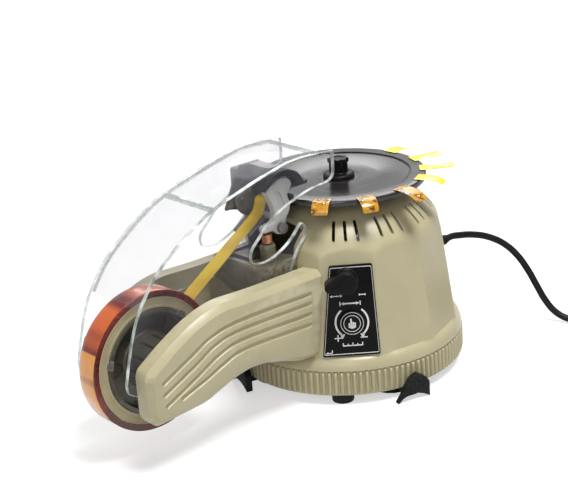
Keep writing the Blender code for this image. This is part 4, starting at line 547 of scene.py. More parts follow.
def levelEdge(edge):
    # An edge that lies in one of a plate's side faces
    return abs(edge.verts[0].co.y - edge.verts[1].co.y) < 0.0001


def skinned(shape, rings):
    # Faces between rings of vertices, and a lid at each end
    for ring, following in zip(rings, rings[1:]):
        for k in range(len(ring)):
            shape.faces.new((ring[k - 1], ring[k], following[k], following[k - 1]))
    shape.faces.new(rings[0][::-1])
    shape.faces.new(rings[-1])
    bmesh.ops.recalc_face_normals(shape, faces=shape.faces)
    return shape


def lathe(profile, steps):
    # The profile of (radius, height) points, turned about z
    shape = bmesh.new()
    closed = profile[0][0] > 0 or profile[-1][0] > 0
    rings = []
    for radius, height in profile:
        count = steps if radius > 0 else 1
        rings.append([shape.verts.new((*polar(radius, math.tau * k / steps), height))
                      for k in range(count)])
    pairs = list(zip(rings, rings[1:])) + ([(rings[-1], rings[0])] if closed else [])
    for ring, following in pairs:
        for k in range(steps):
            sides = (ring, k - 1), (ring, k), (following, k), (following, k - 1)
            corners = list(dict.fromkeys(row[j % len(row)] for row, j in sides))
            if len(corners) > 2:
                shape.faces.new(corners)
    bmesh.ops.recalc_face_normals(shape, faces=shape.faces)
    return shape


def mirrored(profile):
    # The other half of a profile that is the same on both sides
    return profile + [(radius, -height) for radius, height in profile[::-1]]


def polar(radius, angle):
    return Vector((radius * math.cos(angle), radius * math.sin(angle)))


def moved(shape, place):
    bmesh.ops.translate(shape, verts=shape.verts, vec=place)
    return shape


def turned(shape, matrix):
    bmesh.ops.transform(shape, verts=shape.verts, matrix=matrix)
    return shape


def rodBetween(start, end, radius, sides=24):
    start, end = Vector(start), Vector(end)
    run = end - start
    shape = bmesh.new()
    aim = Vector((0, 0, 1)).rotation_difference(run).to_matrix().to_4x4()
    bmesh.ops.create_cone(shape, cap_ends=True, segments=sides, radius1=radius, radius2=radius,
                          depth=run.length, matrix=Matrix.Translation((start + end) / 2) @ aim)
    return shape


def block(low, high):
    low, high = Vector(low), Vector(high)
    shape = bmesh.new()
    bmesh.ops.create_cube(shape, size=1, matrix=Matrix.Translation((low + high) / 2)
                          @ Matrix.Diagonal((*(high - low), 1)))
    return shape


def tubeAlong(points, radius, sides, roundEnds=0):
    # A tube along the points; round ends close it with half balls
    points = [Vector(p) for p in points]
    stations = [(p, radius) for p in points]
    for turn in range(roundEnds):
        bend = math.pi / 2 * (turn + 1) / (roundEnds + 0.35)
        for end, beside, put in ((points[0], points[1], 0), (points[-1], points[-2], len(stations))):
            out = (end - beside).normalized() * radius * math.sin(bend)
            stations.insert(0 if put == 0 else len(stations), (end + out, radius * math.cos(bend)))
    shape = bmesh.new()
    side = None
    rings = []
    for i, (point, reach) in enumerate(stations):
        ahead = (stations[min(i + 1, len(stations) - 1)][0] - stations[max(i - 1, 0)][0]).normalized()
        side = ahead.orthogonal() if side is None else side - ahead * side.dot(ahead)
        side.normalize()
        other = ahead.cross(side)
        rings.append([shape.verts.new(point + (side * math.cos(math.tau * k / sides)
                                               + other * math.sin(math.tau * k / sides)) * reach)
                      for k in range(sides)])
    return skinned(shape, rings)


def aboutZ(degrees):
    return Matrix.Rotation(math.radians(degrees), 4, "Z")


def onRing(radius, azimuth, height):
    angle = math.radians(azimuth)
    return Vector((radius * math.sin(angle), -radius * math.cos(angle), height))


def dress(node, finish, edge=0.0, smooth=32.0):
    # A CAD node that keeps its shape gets its finish and softly broken edges
    part = nodes[node]
    part.data.materials.clear()
    part.data.materials.append(finishes[finish])
    part.data.shade_smooth()
    part.data.set_sharp_from_angle(angle=math.radians(smooth))
    if edge:
        weld = part.modifiers.new("weld", "WELD")
        weld.merge_threshold = 0.00001
        change = part.modifiers.new("brokenEdges", "BEVEL")
        change.width = edge
        change.segments = 2
        change.limit_method = "ANGLE"
        change.angle_limit = math.radians(35)
        change.harden_normals = True


# Cord: the same route as in the CAD source, from the housing through its relief to the plug

# A facet's middle stands nearer to the axis than its corners, by this share of their distance
facetShare = math.cos(math.radians(15))


def facetFrame(index):
    # Local x runs across the facet, y up along it and z out of it, from the middle of its foot
    v = housingValues
    azimuth = math.radians(v["turn"] + 30 * (index + 0.5))
    tilt = math.atan(v["slope"] * facetShare)
    level = Vector((math.sin(azimuth), -math.cos(azimuth), 0))
    out = level * math.cos(tilt) + Vector((0, 0, math.sin(tilt)))
    across = Vector((math.cos(azimuth), math.sin(azimuth), 0))
    place = Matrix((across, out.cross(across), out)).transposed().to_4x4()
    place.translation = level * v["footRadius"] * facetShare + Vector((0, 0, v["footHeight"]))
    return place


housingValues = {
    "turn": -55.5, "footRadius": 0.0854, "footHeight": 0.0278, "slope": 0.0095 / 0.0756,
    "domeRadius": 0.0800, "domeCentre": 0.0850, "domeRise": 0.0580, "crown": 0.1340,
    "shoulderFoot": 0.0203, "shoulderTop": 0.0297, "shoulderRadius": 0.0884, "shoulderInner": 0.08066,
    "edgeSoftness": 0.0008, "archSoftness": 0.0012, "shoulderSoftness": 0.0016,
}


def makeCord(v):
    wall = facetFrame(v["facet"])
    outward = wall.to_3x3() @ Vector((0, 0, 1))
    start = wall @ Vector((0, v["up"], 0))
    centre = Vector((v["coilX"], v["coilY"], v["radius"] + v["coilLift"] - machineLift))
    points = []
    for k in range(v["coilTurns"] * v["coilSteps"] + 1):
        turns = k / v["coilSteps"]
        reach = v["coilRadius"] - v["coilPitch"] * min(turns, v["coilTurns"] - turns)
        climb = min(1, max(0, 2 * (turns - v["coilTurns"] / 2 + 0.25)))
        height = v["coilPitch"] * (3 * climb ** 2 - 2 * climb ** 3)
        angle = math.radians(v["coilTurn"]) + math.tau * turns
        points.append(centre + Vector((*polar(reach, angle), height)))
    angle = math.radians(v["coilTurn"])
    heading = Vector((-math.sin(angle), math.cos(angle), 0))
    lead = [start, start + outward * v["relief"] / 2, start + outward * v["relief"],
            start + outward * (v["relief"] + v["radius"] * 2), *(Vector(p) for p in v["route"])]
    arrival = points[0] - heading * v["radius"] * 2
    route = lead + [arrival - heading * v["radius"] * 3, arrival, *points, points[-1] + heading * v["tail"]]
    line = [p + Vector((machineX, 0, machineLift)) for p in route]
    curve = bpy.data.curves.new("mainsCord", "CURVE")
    curve.dimensions = "3D"
    curve.bevel_depth = v["radius"]
    curve.bevel_resolution = 5
    curve.resolution_u = 5
    curve.use_fill_caps = True
    spline = curve.splines.new("BEZIER")
    spline.bezier_points.add(len(line) - 1)
    for knot, point in zip(spline.bezier_points, line):
        knot.co = point
        knot.handle_left_type = knot.handle_right_type = "AUTO"
    curve.materials.append(finishes["cordSheath"])
    cord = linked("mainsCord", curve)
    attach(cord, "chassis")
    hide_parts("cord_lead", "cord_coil")
    relief = makeRelief(v, wall)
    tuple(line[0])
    dress("cord_plug", "rubber", 0.0006)
    dress("cord_tie", "black", 0.0002)


def makeRelief(v, wall):
    # A collar on the housing and a tapered sleeve with soft rings
    radius = v["radius"] + 0.00004
    profile = [(radius, -0.0010), (0.0056, -0.0010), (0.0056, 0.0003), (0.0081, 0.0003), (0.0085, 0.0008),
               (0.0084, 0.0016), (0.0060, 0.0022)]
    for k in range(v["reliefRings"]):
        low = 0.0030 + k * v["reliefStep"]
        reach = 0.0058 - 0.0022 * k / v["reliefRings"]
        profile += [(reach, low), (reach, low + v["reliefStep"] * 0.5),
                    (reach - 0.0007, low + v["reliefStep"] * 0.62),
                    (reach - 0.0008, low + v["reliefStep"] * 0.9)]
    profile += [(0.0034, v["relief"] - 0.0004), (0.0031, v["relief"]), (radius, v["relief"])]
    shape = turned(moved(lathe(profile, 40), (0, v["up"], 0)), wall)
    return addPiece("cordRelief", shape, "rubber", "cord_relief")


cordValues = {
    "radius": 0.00275, "length": 1.433, "facet": 4, "up": 0.0365, "relief": 0.0200, "reliefRings": 5,
    "reliefStep": 0.0032,
    "route": ((0.1054, -0.0200, 0.0668), (0.1198, -0.0250, 0.0645), (0.1326, -0.0318, 0.0598),
              (0.1410, -0.0404, 0.0530), (0.1455, -0.0495, 0.0440), (0.1478, -0.0580, 0.0330),
              (0.1490, -0.0660, 0.0210), (0.1503, -0.0740, 0.0095), (0.1530, -0.0825, 0.0008),
              (0.1570, -0.0915, -0.0034), (0.1622, -0.1015, -0.0042), (0.1680, -0.1120, -0.0041),
              (0.1734, -0.1215, -0.0036)),
    "coilX": 0.2163, "coilY": -0.1153, "coilTurn": 212.7, "coilRadius": 0.0410, "coilTurns": 6,
    "coilPitch": 0.0060, "coilLift": 0.0015, "coilSteps": 12, "tail": 0.0340,
}
makeCord(cordValues)
print("cord laid")


# Housing: a dome cut by twelve leaning facets on a rounded shoulder, worked out point by point

def softLess(a, b, width):
    blend = max(width - abs(a - b), 0) / width
    return min(a, b) - blend * blend * width / 4


def housingReach(azimuth, height, shoulder, grow):
    # How far the outer face stands from the axis at an azimuth and a height
    v = housingValues
    flat = (v["footRadius"] - v["slope"] * (height - v["footHeight"])) * facetShare + grow
    offset = (azimuth - v["turn"]) % 30 - 15
    reach = softLess(flat / math.cos(math.radians(offset)), flat / math.cos(math.radians(30 - abs(offset))),
                     v["edgeSoftness"])
    if height > v["domeCentre"]:
        share = min(1, (height - v["domeCentre"]) / (v["domeRise"] + grow))
        reach = softLess(reach, (v["domeRadius"] + grow) * math.sqrt(1 - share * share), v["archSoftness"])
    return -softLess(-reach, -shoulder - grow, v["shoulderSoftness"])


def housingForm(grow, columns, archStep):
    v = housingValues
    rows = []
    for k in range(13):
        angle = math.pi / 24 * k
        width = v["shoulderRadius"] - v["shoulderInner"]
        rows.append((v["shoulderFoot"] + (v["shoulderTop"] - v["shoulderFoot"]) * math.sin(angle) ** 1.3,
                     v["shoulderInner"] + width * math.cos(angle) ** 0.8 if k < 12 else v["shoulderInner"]))
    height = v["shoulderTop"]
    while height < v["crown"] - 0.0004:
        height += 0.0032 if height < 0.0990 else archStep if height < 0.1112 else 0.0014
        rows.append((min(height, v["crown"]), 0))
    shape = bmesh.new()
    rings = []
    for height, shoulder in rows:
        level = height + (grow if height > 0.1 else 0)
        rings.append([shape.verts.new(onRing(housingReach(k * 360 / columns, level, shoulder, grow),
                                             k * 360 / columns, level)) for k in range(columns)])
    return skinned(shape, rings)


def panelHoles(depth):
    # Holes for the stems of the width knob and the length ring
    wall = facetFrame(0)
    v = panelValues
    return [turned(rodBetween((*v[place], -depth), (*v[place], 0.004), reach, 20), wall)
            for place, reach in (("knobPlace", 0.0036), ("ringPlace", 0.0042))]


def makeHousing(v):
    h = housingValues
    shell = housingForm(0, v["columns"], 0.0004)
    inner = []
    for height in v["innerLevels"]:
        share = max(0, height - h["domeCentre"]) / (h["domeRise"] - v["wall"])
        dome = (h["domeRadius"] - v["wall"]) * math.sqrt(max(0, 1 - share * share))
        flat = h["footRadius"] - h["slope"] * (height - h["footHeight"])
        reach = min(dome, flat * v["flatShare"] - v["wall"])
        inner.append((v["skirtInner"] if height <= v["skirtTop"] else reach, height))
    hollow = lathe([(0, inner[0][1]), *inner, (0, inner[-1][1])], 72)
    shell = carved(shell, hollow)
    deep, proud = -v["cutDepth"], v["cutRise"]
    cuts = [block((-0.1, -v["mouthHalf"], v["mouthLow"]), (v["mouthBack"], v["mouthHalf"], 0.14)),
            rodBetween((0, 0, 0.125), (0, 0, 0.14), v["spindleHole"], 48), *panelHoles(v["cutDepth"])]
    half = v["ventWidth"] / 2
    middle = (v["ventLow"] + v["ventHigh"]) / 2
    reach = (v["ventHigh"] - v["ventLow"]) / 2 - half
    slot = []
    for k in range(17):
        slot.append(polar(half, math.pi * k / 8) + Vector((0, middle + (reach if k <= 8 else -reach))))
    for facet in range(8):
        for side in (-1, 0, 1):
            azimuth = h["turn"] + 30 * (facet + 0.5) + side * v["ventPitch"]
            cuts.append(turned(slab(slot, *v["ventReach"], "yz"), aboutZ(azimuth - 90)))
    low, high = v["switchHole"]
    cuts.append(turned(block((*low, deep), (*high, proud)), facetFrame(v["switchFacet"])))
    outlet = rodBetween((0, cordValues["up"], deep), (0, cordValues["up"], proud), v["cordHole"], 32)
    cuts.append(turned(outlet, facetFrame(cordValues["facet"])))
    shell = carved(shell, joined(*cuts))
    top, foot = v["postSpan"]
    posts = [turned(rodBetween((x, y, top), (x, y, foot), v["postRadius"], 20), facetFrame(0))
             for x in v["postAcross"] for y in v["postUp"]]
    shell = carved(shell, joined(*posts), "UNION")
    return addPiece("housing", shell, "warmGrey", "body_cover", smooth=28)


houseValues = {
    "columns": 480, "wall": 0.0026, "skirtInner": 0.0858, "skirtTop": 0.0229, "flatShare": 0.9659,
    "innerLevels": (0.0150, 0.0229, 0.02291, 0.0281, 0.0500, 0.0750, 0.0900, 0.1010, 0.1100, 0.1180, 0.1250,
                    0.1314),
    "mouthHalf": 0.0230, "mouthLow": 0.1010, "mouthBack": -0.0575,
    "ventWidth": 0.0024, "ventLow": 0.1130, "ventHigh": 0.1255, "ventPitch": 7.4, "ventReach": (0.048, 0.086),
    "cutDepth": 0.009, "cutRise": 0.004, "spindleHole": 0.0083, "cordHole": 0.0061,
    "switchFacet": 6, "switchHole": ((-0.0060, 0.0110), (0.0060, 0.0290)),
    "postAcross": (-0.0114, 0.0114), "postUp": (0.0186, 0.0693), "postSpan": (-0.0012, -0.0147),
    "postRadius": 0.0025,
}
panelValues = {
    "outline": ((-0.0217, 0.0026), (0.0202, 0.0026), (0.0176, 0.0708), (-0.0134, 0.0708)),
    "top": 0.0015, "knobPlace": (-0.0019, 0.0600), "nose": (-0.0118, -0.0022), "gripRadius": 0.0080,
    "noseRadius": 0.0040, "ringPlace": (0.0007, 0.0279), "knurls": 48,
}
makeHousing(houseValues)
print("housing made")


# Base pan: round ribs with rounded ends, closed under the shoulder

def quarterArc(share):
    # The rise of a quarter circle at a share of its run
    return math.sqrt(max(0, 1 - (1 - min(1, max(0, share))) ** 2))


def makeBasePan(v):
    columns = v["ribs"] * v["ribSteps"]
    half = v["ribShare"] / 2
    levels = [v["height"] * k / 16 for k in range(1, 16)]
    levels = [0, 0.0005, 0.0010, 0.0016, *levels[1:-1], 0.0186, 0.0191, 0.0195, v["height"]]
    shape = bmesh.new()
    rings = []
    for level in levels:
        upper, lower, rise = (quarterArc(share) for share in (
            (v["ribTop"] - level) / v["ribEnd"], (level - v["ribFoot"]) / v["ribEnd"],
            level / v["footRound"]))
        edge = v["radius"] - v["footRound"] * (1 - rise)
        ring = []
        for k in range(columns):
            across = (k / v["ribSteps"]) % 1 - 0.5
            proud = math.sqrt(max(0, 1 - (across / half) ** 2)) * v["ribDepth"] * upper * lower
            ring.append(shape.verts.new(onRing(edge + proud, k * 360 / columns, level)))
        rings.append(ring)
    inner = v["radius"] - v["wall"]
    shape = carved(skinned(shape, rings), joined(
        lathe([(0, -0.004), (inner - v["wall"], -0.004), (inner - v["wall"], v["floorLow"]),
               (0, v["floorLow"])], 96),
        lathe([(0, v["floorHigh"]), (inner, v["floorHigh"]), (inner, 0.024), (0, 0.024)], 96)))
    holes = [rodBetween(onRing(ring, turn + 90 * k, -0.004), onRing(ring, turn + 90 * k, top), reach, sides)
             for ring, turn, top, reach, sides in v["holes"] for k in range(4)]
    shape = carved(shape, joined(*holes))
    posts = [rodBetween((x, y, v["postFoot"]), (x, y, v["boardPostTop"]), 0.0030, 24)
             for x in v["boardPostX"] for y in v["boardPostY"]]
    for k in range(3):
        place = onRing(v["driveOffset"], 90, v["postFoot"]) + onRing(v["driveRing"], 90 + 120 * (k + 0.5), 0)
        posts.append(rodBetween(place, (place.x, place.y, v["drivePostTop"]), 0.0035, 24))
    shape = carved(shape, joined(*posts), "UNION")
    return addPiece("basePan", shape, "warmGrey", "base_pan", smooth=40)


panValues = {
    "radius": 0.0868, "height": 0.0200, "wall": 0.0026, "ribs": 120, "ribSteps": 10, "ribShare": 0.66,
    "ribDepth": 0.0022, "ribTop": 0.0193, "ribFoot": 0.0012, "ribEnd": 0.0016, "footRound": 0.0010,
    "floorLow": 0.0020, "floorHigh": 0.0050, "postFoot": 0.0035,
    # Four holes each for the rubber feet and the suction feet's necks: ring, turn, top, radius and sides
    "holes": ((0.0775, -47, 0.0035, 0.0088, 32), (0.0640, -14, 0.0100, 0.0053, 24)),
    "boardPostX": (-0.0620, -0.0040), "boardPostY": (-0.0160, 0.0320), "boardPostTop": 0.0117,
    "driveOffset": 0.0400, "driveRing": 0.0255, "drivePostTop": 0.0831,
}
makeBasePan(panValues)
print("base pan made")


# Arms: plates with softened edges and four round-ended grooves, fitted to the housing

def makeArm(side, end, v):
    # The far arm's tip stays behind the roll
    tip = v["tip"] + (v["farShorter"] if side > 0 else 0)
    length = v["length"] + v["tip"] - tip
    outline = rounded(fromShares(v["outlineShares"], tip, v["low"], length, v["height"]), v["corner"])
    outer = side * v["outer"]
    shape = slab(outline, side * v["inner"], outer - side * v["chamfer"])
    face = [f for f in shape.faces if abs(f.calc_center_median().y - outer) < v["chamfer"] * 1.01]
    bmesh.ops.inset_region(shape, faces=face, thickness=v["chamfer"], depth=v["chamfer"],
                           use_even_offset=True)
    bevelled = abs(outer) - v["chamfer"] * 1.01
    shape = eased(shape, v["edge"], 3, 20, lambda edge: levelEdge(edge)
                  and min(abs(p.co.y) for p in edge.verts) > bevelled)
    grooves = []
    for shares in v["grooveShares"]:
        line = fromShares(shares, tip, v["low"], length, v["height"])
        level = outer + side * v["grooveOut"]
        grooves.append(tubeAlong(through([(x, level, z) for x, z in line], 6), v["grooveRadius"], 16, 4))
    shape = carved(shape, joined(*grooves))
    ends = [(reelX, side * depth, reelZ) for depth in v["socketSpan"]]
    socket = rodBetween(*ends, v["socket"], 32)
    shape = carved(shape, socket)
    shape = carved(shape, housingForm(0.0003, 180, 0.0012))
    addPiece(f"reelArm-{end}", shape, "warmGrey", f"arm_{end}", smooth=30)


armValues = {
    "tip": -0.2215, "low": 0.0290, "length": 0.1615, "height": 0.0695, "inner": 0.0310, "outer": 0.0460,
    "corner": 0.0060, "chamfer": 0.0044, "edge": 0.0006, "socket": 0.0043, "socketSpan": (0.027, 0.038),
    "grooveRadius": 0.0021, "grooveOut": 0.0004, "farShorter": 0.0070,
    "outlineShares": (
        (0.030, 0.000), (0.000, 0.100), (0.000, 0.520), (0.012, 0.586), (0.115, 0.738),
        (0.232, 0.882), (0.330, 0.962), (0.424, 1.000), (0.620, 0.975), (1.000, 0.964),
        (1.000, 0.014), (0.913, 0.014), (0.833, 0.036), (0.746, 0.108), (0.635, 0.180),
        (0.560, 0.194), (0.474, 0.165), (0.387, 0.100), (0.307, 0.036), (0.133, 0.010)),
    "grooveShares": (
        ((0.898, 0.750), (0.505, 0.770), (0.344, 0.719), (0.232, 0.604), (0.077, 0.440)),
        ((0.898, 0.647), (0.505, 0.669), (0.362, 0.619), (0.245, 0.489), (0.077, 0.316)),
        ((0.895, 0.532), (0.517, 0.561), (0.381, 0.504), (0.257, 0.374), (0.084, 0.194)),
        ((0.892, 0.417), (0.529, 0.453), (0.399, 0.388), (0.307, 0.309), (0.165, 0.209))),
}
makeArm(-1, "near", armValues)
makeArm(1, "far", armValues)
print("arms made")


# Reel: tape roll of wound film, its core, the hub with its blind windows, and the catches

def makeReel(v):
    axis = (reelX, 0, reelZ)
    half = v["tapeHalf"]

    def onAxis(profile, steps):
        return moved(turned(lathe(profile, steps), Matrix.Rotation(math.pi / 2, 4, "X")), axis)

    def holesRound(count, ring, reach, depth, sides):
        # Holes into both sides of the hub, down to a depth on either side of its middle plane
        for k in range(count):
            x, z = polar(ring, math.tau * k / count)
            for end in (-1, 1):
                yield moved(rodBetween((x, end * depth[0], z), (x, end * depth[1], z), reach, sides), axis)

    inner, outer = v["coreRadius"] + 0.0003, v["filmRadius"]
    profile = [(inner, -half)]
    steps = v["sideRings"] * 2 + 1
    for k in range(steps):
        profile.append((inner + (outer - inner - 0.0004) * (k + 0.5) / steps,
                        -half - (0.00007 if k % 2 else 0)))
    profile += [(outer - 0.0002, -half + 0.00005), (outer, -half + 0.00035), (outer - 0.00006, -half * 0.4),
                (outer - 0.00002, half * 0.3)]
    roll = onAxis(mirrored(profile), 144)
    roll = addPiece("tapeRoll", roll, ["rollFilm", "rollSide"], "tape_roll", smooth=50)
    for face in roll.data.polygons:
        face.material_index = 1 if abs(face.normal.y) > 0.7 else 0

    outer, inner = v["coreRadius"], v["coreBore"]
    lip = v["coreLip"]
    side = [(inner, -half + lip), (inner + lip, -half), (inner + 0.0022, -half),
            (inner + 0.0024, -half + 0.0003), (outer - 0.0010, -half + 0.0003), (outer - 0.0008, -half),
            (outer - 0.0002, -half), (outer, -half + 0.0002)]
    addPiece("tapeCore", onAxis(mirrored(side), 144), "core", "tape_core", smooth=40)

    rim = inner - 0.0003
    wall, web, boss = v["hubWall"], v["hubWeb"] / 2, v["bossRadius"]
    bore, end = v["shaftBore"], -v["bossReach"]
    side = [(bore, end), (bore + 0.0025, end), (bore + 0.0030, end + 0.0012), (boss - 0.0060, end + 0.0012),
            (boss - 0.0050, end), (boss - 0.0010, end), (boss, end + 0.0010),
            (boss + 0.0006, -web - 0.0012), (boss + 0.0018, -web), (rim - wall - 0.0014, -web),
            (rim - wall, -web - 0.0014), (rim - wall, -half), (rim - 0.0003, -half), (rim, -half + 0.0003)]
    middle = (boss + rim - wall) / 2
    cuts = [*holesRound(v["windows"], middle, v["windowRadius"], (0.0060, 0.0004), 36),
            *holesRound(v["bossGrooves"], boss, 0.0013, (0.0300, 0.0085), 10)]
    hub = carved(onAxis(mirrored(side), 96), joined(*cuts))
    addPiece("reelHub", hub, "hubOlive", "reel_hub", smooth=35)

    near = -half - 0.0015
    far = near + 0.0012
    ring = onAxis([(rim - wall, near), (rim - 0.0016, near), (rim - 0.0016, far), (rim - wall, far)], 96)
    outline = rounded(mirrored([(rim - wall + 0.0003, -0.0036), (rim - 0.0002, -0.0036),
                                (rim + 0.0019, -0.0018)]), 0.0008)
    tabs = []
    for k in range(3):
        turn = Matrix.Rotation(-math.radians(v["catchTurn"] + 120 * k), 4, "Y")
        tabs.append(moved(turned(slab(outline, near, far), turn), axis))
    addPiece("coreCatches", carved(ring, joined(*tabs), "UNION"), "darkGrey", "core_catches")
    dress("reel_shaft", "steel", 0.0004)


reelValues = {
    "tapeHalf": 0.00845, "filmRadius": 0.0508, "coreRadius": 0.0458,
    "coreBore": 0.0381, "coreLip": 0.0006, "hubWall": 0.0030, "hubWeb": 0.0030, "bossRadius": 0.0195,
    "bossReach": 0.0264, "shaftBore": 0.0043, "sideRings": 4, "windows": 6, "windowRadius": 0.0055,
    "bossGrooves": 12, "catchTurn": 166.0,
}
makeReel(reelValues)
print("reel made")


# Tape web: one thin band from the roll over the guide table to the blade

def bandAlong(path, thickness, halfWidths, bows):
    # A band with a width and a crosswise bow at each point of its path
    points = [Vector((x, 0, z)) for x, z in path]
    across = [-1 + 2 * k / 8 for k in range(9)]
    shape = bmesh.new()
    layers = []
    for side in (0.5, -0.5):
        rows = []
        for i, point in enumerate(points):
            run = (points[min(i + 1, len(points) - 1)] - points[max(i - 1, 0)]).normalized()
            normal = Vector((-run.z, 0, run.x))
            rows.append([shape.verts.new(point + normal * (thickness * side + bows[i] * (1 - t * t))
                                         + Vector((0, t * halfWidths[i], 0))) for t in across])
        layers.append(rows)
    for rows in layers:
        for row, following in zip(rows, rows[1:]):
            for k in range(8):
                shape.faces.new((row[k], row[k + 1], following[k + 1], following[k]))
    rim, under = (
        [row[0] for row in rows] + rows[-1][1:] + [row[-1] for row in rows[-2::-1]] + rows[0][-2:0:-1]
        for rows in layers)
    for k in range(len(rim)):
        shape.faces.new((rim[k - 1], rim[k], under[k], under[k - 1]))
    bmesh.ops.recalc_face_normals(shape, faces=shape.faces)
    return shape


def makeWeb(v):
    start = polar(v["peelRadius"], math.radians(v["peelAngle"]))
    line = through([Vector((reelX, reelZ)) + start, *fromShares(v["shares"], *v["box"])], 6)
    swells = [math.sin(math.pi * i / (len(line) - 1)) for i in range(len(line))]
    widths = [v["half"] * (1 - 0.10 * swell) for swell in swells]
    bows = [0.0004 * swell for swell in swells]
    addPiece("tapeWeb", bandAlong(line, v["film"], widths, bows), "webFilm", "tape_web", smooth=60)


webValues = {
    "peelAngle": 39.0, "peelRadius": 0.0513, "half": 0.0066, "film": 0.0003,
    "box": (-0.1040, 0.1198, 0.0350, 0.0254),
    "shares": ((-0.286, -0.251), (0.000, 0.000), (0.557, 0.472), (0.703, 0.717), (0.749, 0.894),
               (0.834, 0.984), (1.000, 1.000)),
}
makeWeb(webValues)


# Clear cover: two side walls with polished edges, the front panel and the rear panel

def coverPoints(shares):
    # Places about the reel's axis: the front follows the roll, and the rest follows the turntable
    v = coverValues
    start, end = v["bend"]
    for along, up in shares:
        front = Vector((along * v["frontLength"] - v["nose"], up * v["frontHeight"] - v["drop"]))
        back = Vector((v["tip"] + along * v["length"] - reelX,
                       v["high"] - (1 - up) * v["hookHeight"] - reelZ))
        yield front.lerp(back, min(1, max(0, (along - start) / (end - start))))


def pointAt(edge, x):
    # The point of the falling edge line at a given x
    for a, b in zip(edge, edge[1:]):
        if b.x <= x <= a.x:
            return a.lerp(b, (a.x - x) / (a.x - b.x))
    return edge[0]


def markEdges(piece, across):
    # The sides of the sheet are clear, and its cut edges take the edge finish with its painted glints
    for face in piece.data.polygons:
        face.material_index = 0 if across(face) else 1


def makeCover(v):
    axis = (reelX, 0, reelZ)
    top = through(coverPoints(v["topShares"]), 8)
    under = [*v["tipShares"], *v["skirtShares"], *v["hookShares"], *v["notchShares"]]
    low = through([top[-1], *coverPoints(under), top[0]], 3)[1:-1]
    outline = top + low
    inner = v["half"] - v["wall"]
    for side, end in ((-1, "near"), (1, "far")):
        shape = slab(outline, side * inner, side * v["half"])
        shape = eased(shape, v["edge"], 2, 50, levelEdge)
        hole = rodBetween((0, side * 0.02, 0), (0, side * 0.036, 0), 0.0043, 40)
        shape = moved(carved(shape, hole), axis)
        wall = addPiece(f"coverWall-{end}", shape, ["clearSide", "clearEdge"], f"cover_wall_{end}")
        markEdges(wall, lambda face: abs(face.normal.y) > 0.95)
    gap = v["gap"]
    for part, high, low in (("Front", v["seam"] - gap / 2, v["mouth"]),
                            ("Rear", v["back"], v["seam"] + gap / 2)):
        upper, lower = [], []
        for k in range(v["panelSteps"] + 1):
            x = high + (low - high) * k / v["panelSteps"]
            run = (pointAt(top, x - v["panel"] / 2) - pointAt(top, x + v["panel"] / 2)).normalized()
            upper.append(pointAt(top, x))
            lower.append(upper[-1] + Vector((-run.y, run.x)) * v["panel"])
        shape = slab(upper + lower[::-1], gap - inner, inner - gap)
        shape = moved(eased(shape, v["edge"], 2, 50), axis)
        panel = addPiece(f"cover{part}-panel", shape, ["clearFace", "clearEdge"],
                         f"cover_{part.lower()}_panel")
        end = machineX + reelX + high
        markEdges(panel, lambda face: abs(face.normal.y) < 0.5 and abs(face.center.x - end) > 0.0016)


coverValues = {
    "half": 0.0300, "wall": 0.0030, "panel": 0.0030, "gap": 0.0003, "edge": 0.0004, "nose": 0.0382,
    "drop": 0.0184,
    "frontLength": 0.19690, "frontHeight": 0.13650, "tip": -0.2279, "length": 0.1969, "high": 0.1765,
    "hookHeight": 0.1365, "bend": (0.16, 0.45), "seam": 0.04962, "mouth": -0.02127, "back": 0.14787,
    "panelSteps": 48,
    "topShares": (
        (1.000, 0.985), (0.919, 0.996), (0.797, 1.000), (0.650, 0.963), (0.548, 0.926),
        (0.446, 0.886), (0.355, 0.830), (0.253, 0.740), (0.157, 0.630), (0.081, 0.487),
        (0.045, 0.374), (0.020, 0.256), (0.000, 0.147)),
    "tipShares": ((0.004, 0.103), (0.022, 0.078), (0.080, 0.040), (0.190, 0.000), (0.290, 0.050)),
    "skirtShares": ((0.360, 0.240), (0.455, 0.322), (0.745, 0.325), (0.768, 0.345)),
    "hookShares": (
        (0.768, 0.421), (0.790, 0.483), (0.815, 0.527), (0.846, 0.580), (0.842, 0.630), (0.822, 0.650)),
    "notchShares": (
        (0.785, 0.599), (0.745, 0.557), (0.688, 0.522), (0.636, 0.511), (0.598, 0.521),
        (0.585, 0.533), (0.582, 0.569), (0.593, 0.603), (0.629, 0.650), (0.668, 0.701),
        (0.743, 0.759), (0.802, 0.785), (0.887, 0.815), (0.953, 0.820), (0.982, 0.832), (0.999, 0.870)),
}
makeCover(coverValues)
print("cover made")


# Head: base with the spring's boss, guide plate, press lever, its cap with the finger, press roller

def makeHeadBase(v):
    outline = rounded(fromShares(v["shares"], v["left"], v["top"] - v["height"], v["length"], v["height"]),
                      v["corner"])
    shape = eased(slab(outline, -v["half"], v["half"]), v["soft"], 4, 50, levelEdge)
    shape = carved(shape, housingForm(0.0003, 180, 0.0012))
    x, y, top = v["bossPlace"]
    low = v["top"] - 0.0016 - top
    boss = lathe([(0, low), (0.0060, low), (0.0060, -0.0102), (0.0057, -0.0030), (0.0054, -0.0008),
                  (0.0048, -0.0001), (0.0030, 0), (0, 0)], 48)
    shape = carved(shape, moved(boss, (x, y, top)), "UNION")
    # The head base wears a darker copy of the housing's beige as painted shade
    addPiece("headBase", shape, "headOlive", "head_base", smooth=35)


headValues = {
    "left": -0.1080, "top": 0.1040, "length": 0.0440, "height": 0.0340, "half": 0.0264, "corner": 0.0028,
    "soft": 0.0012,
    "shares": ((0.000, 0.588), (0.080, 1.000), (1.000, 1.000), (1.000, 0.000), (0.409, 0.000)),
    "bossPlace": (-0.0880, -0.0170, 0.1168),
}
makeHeadBase(headValues)


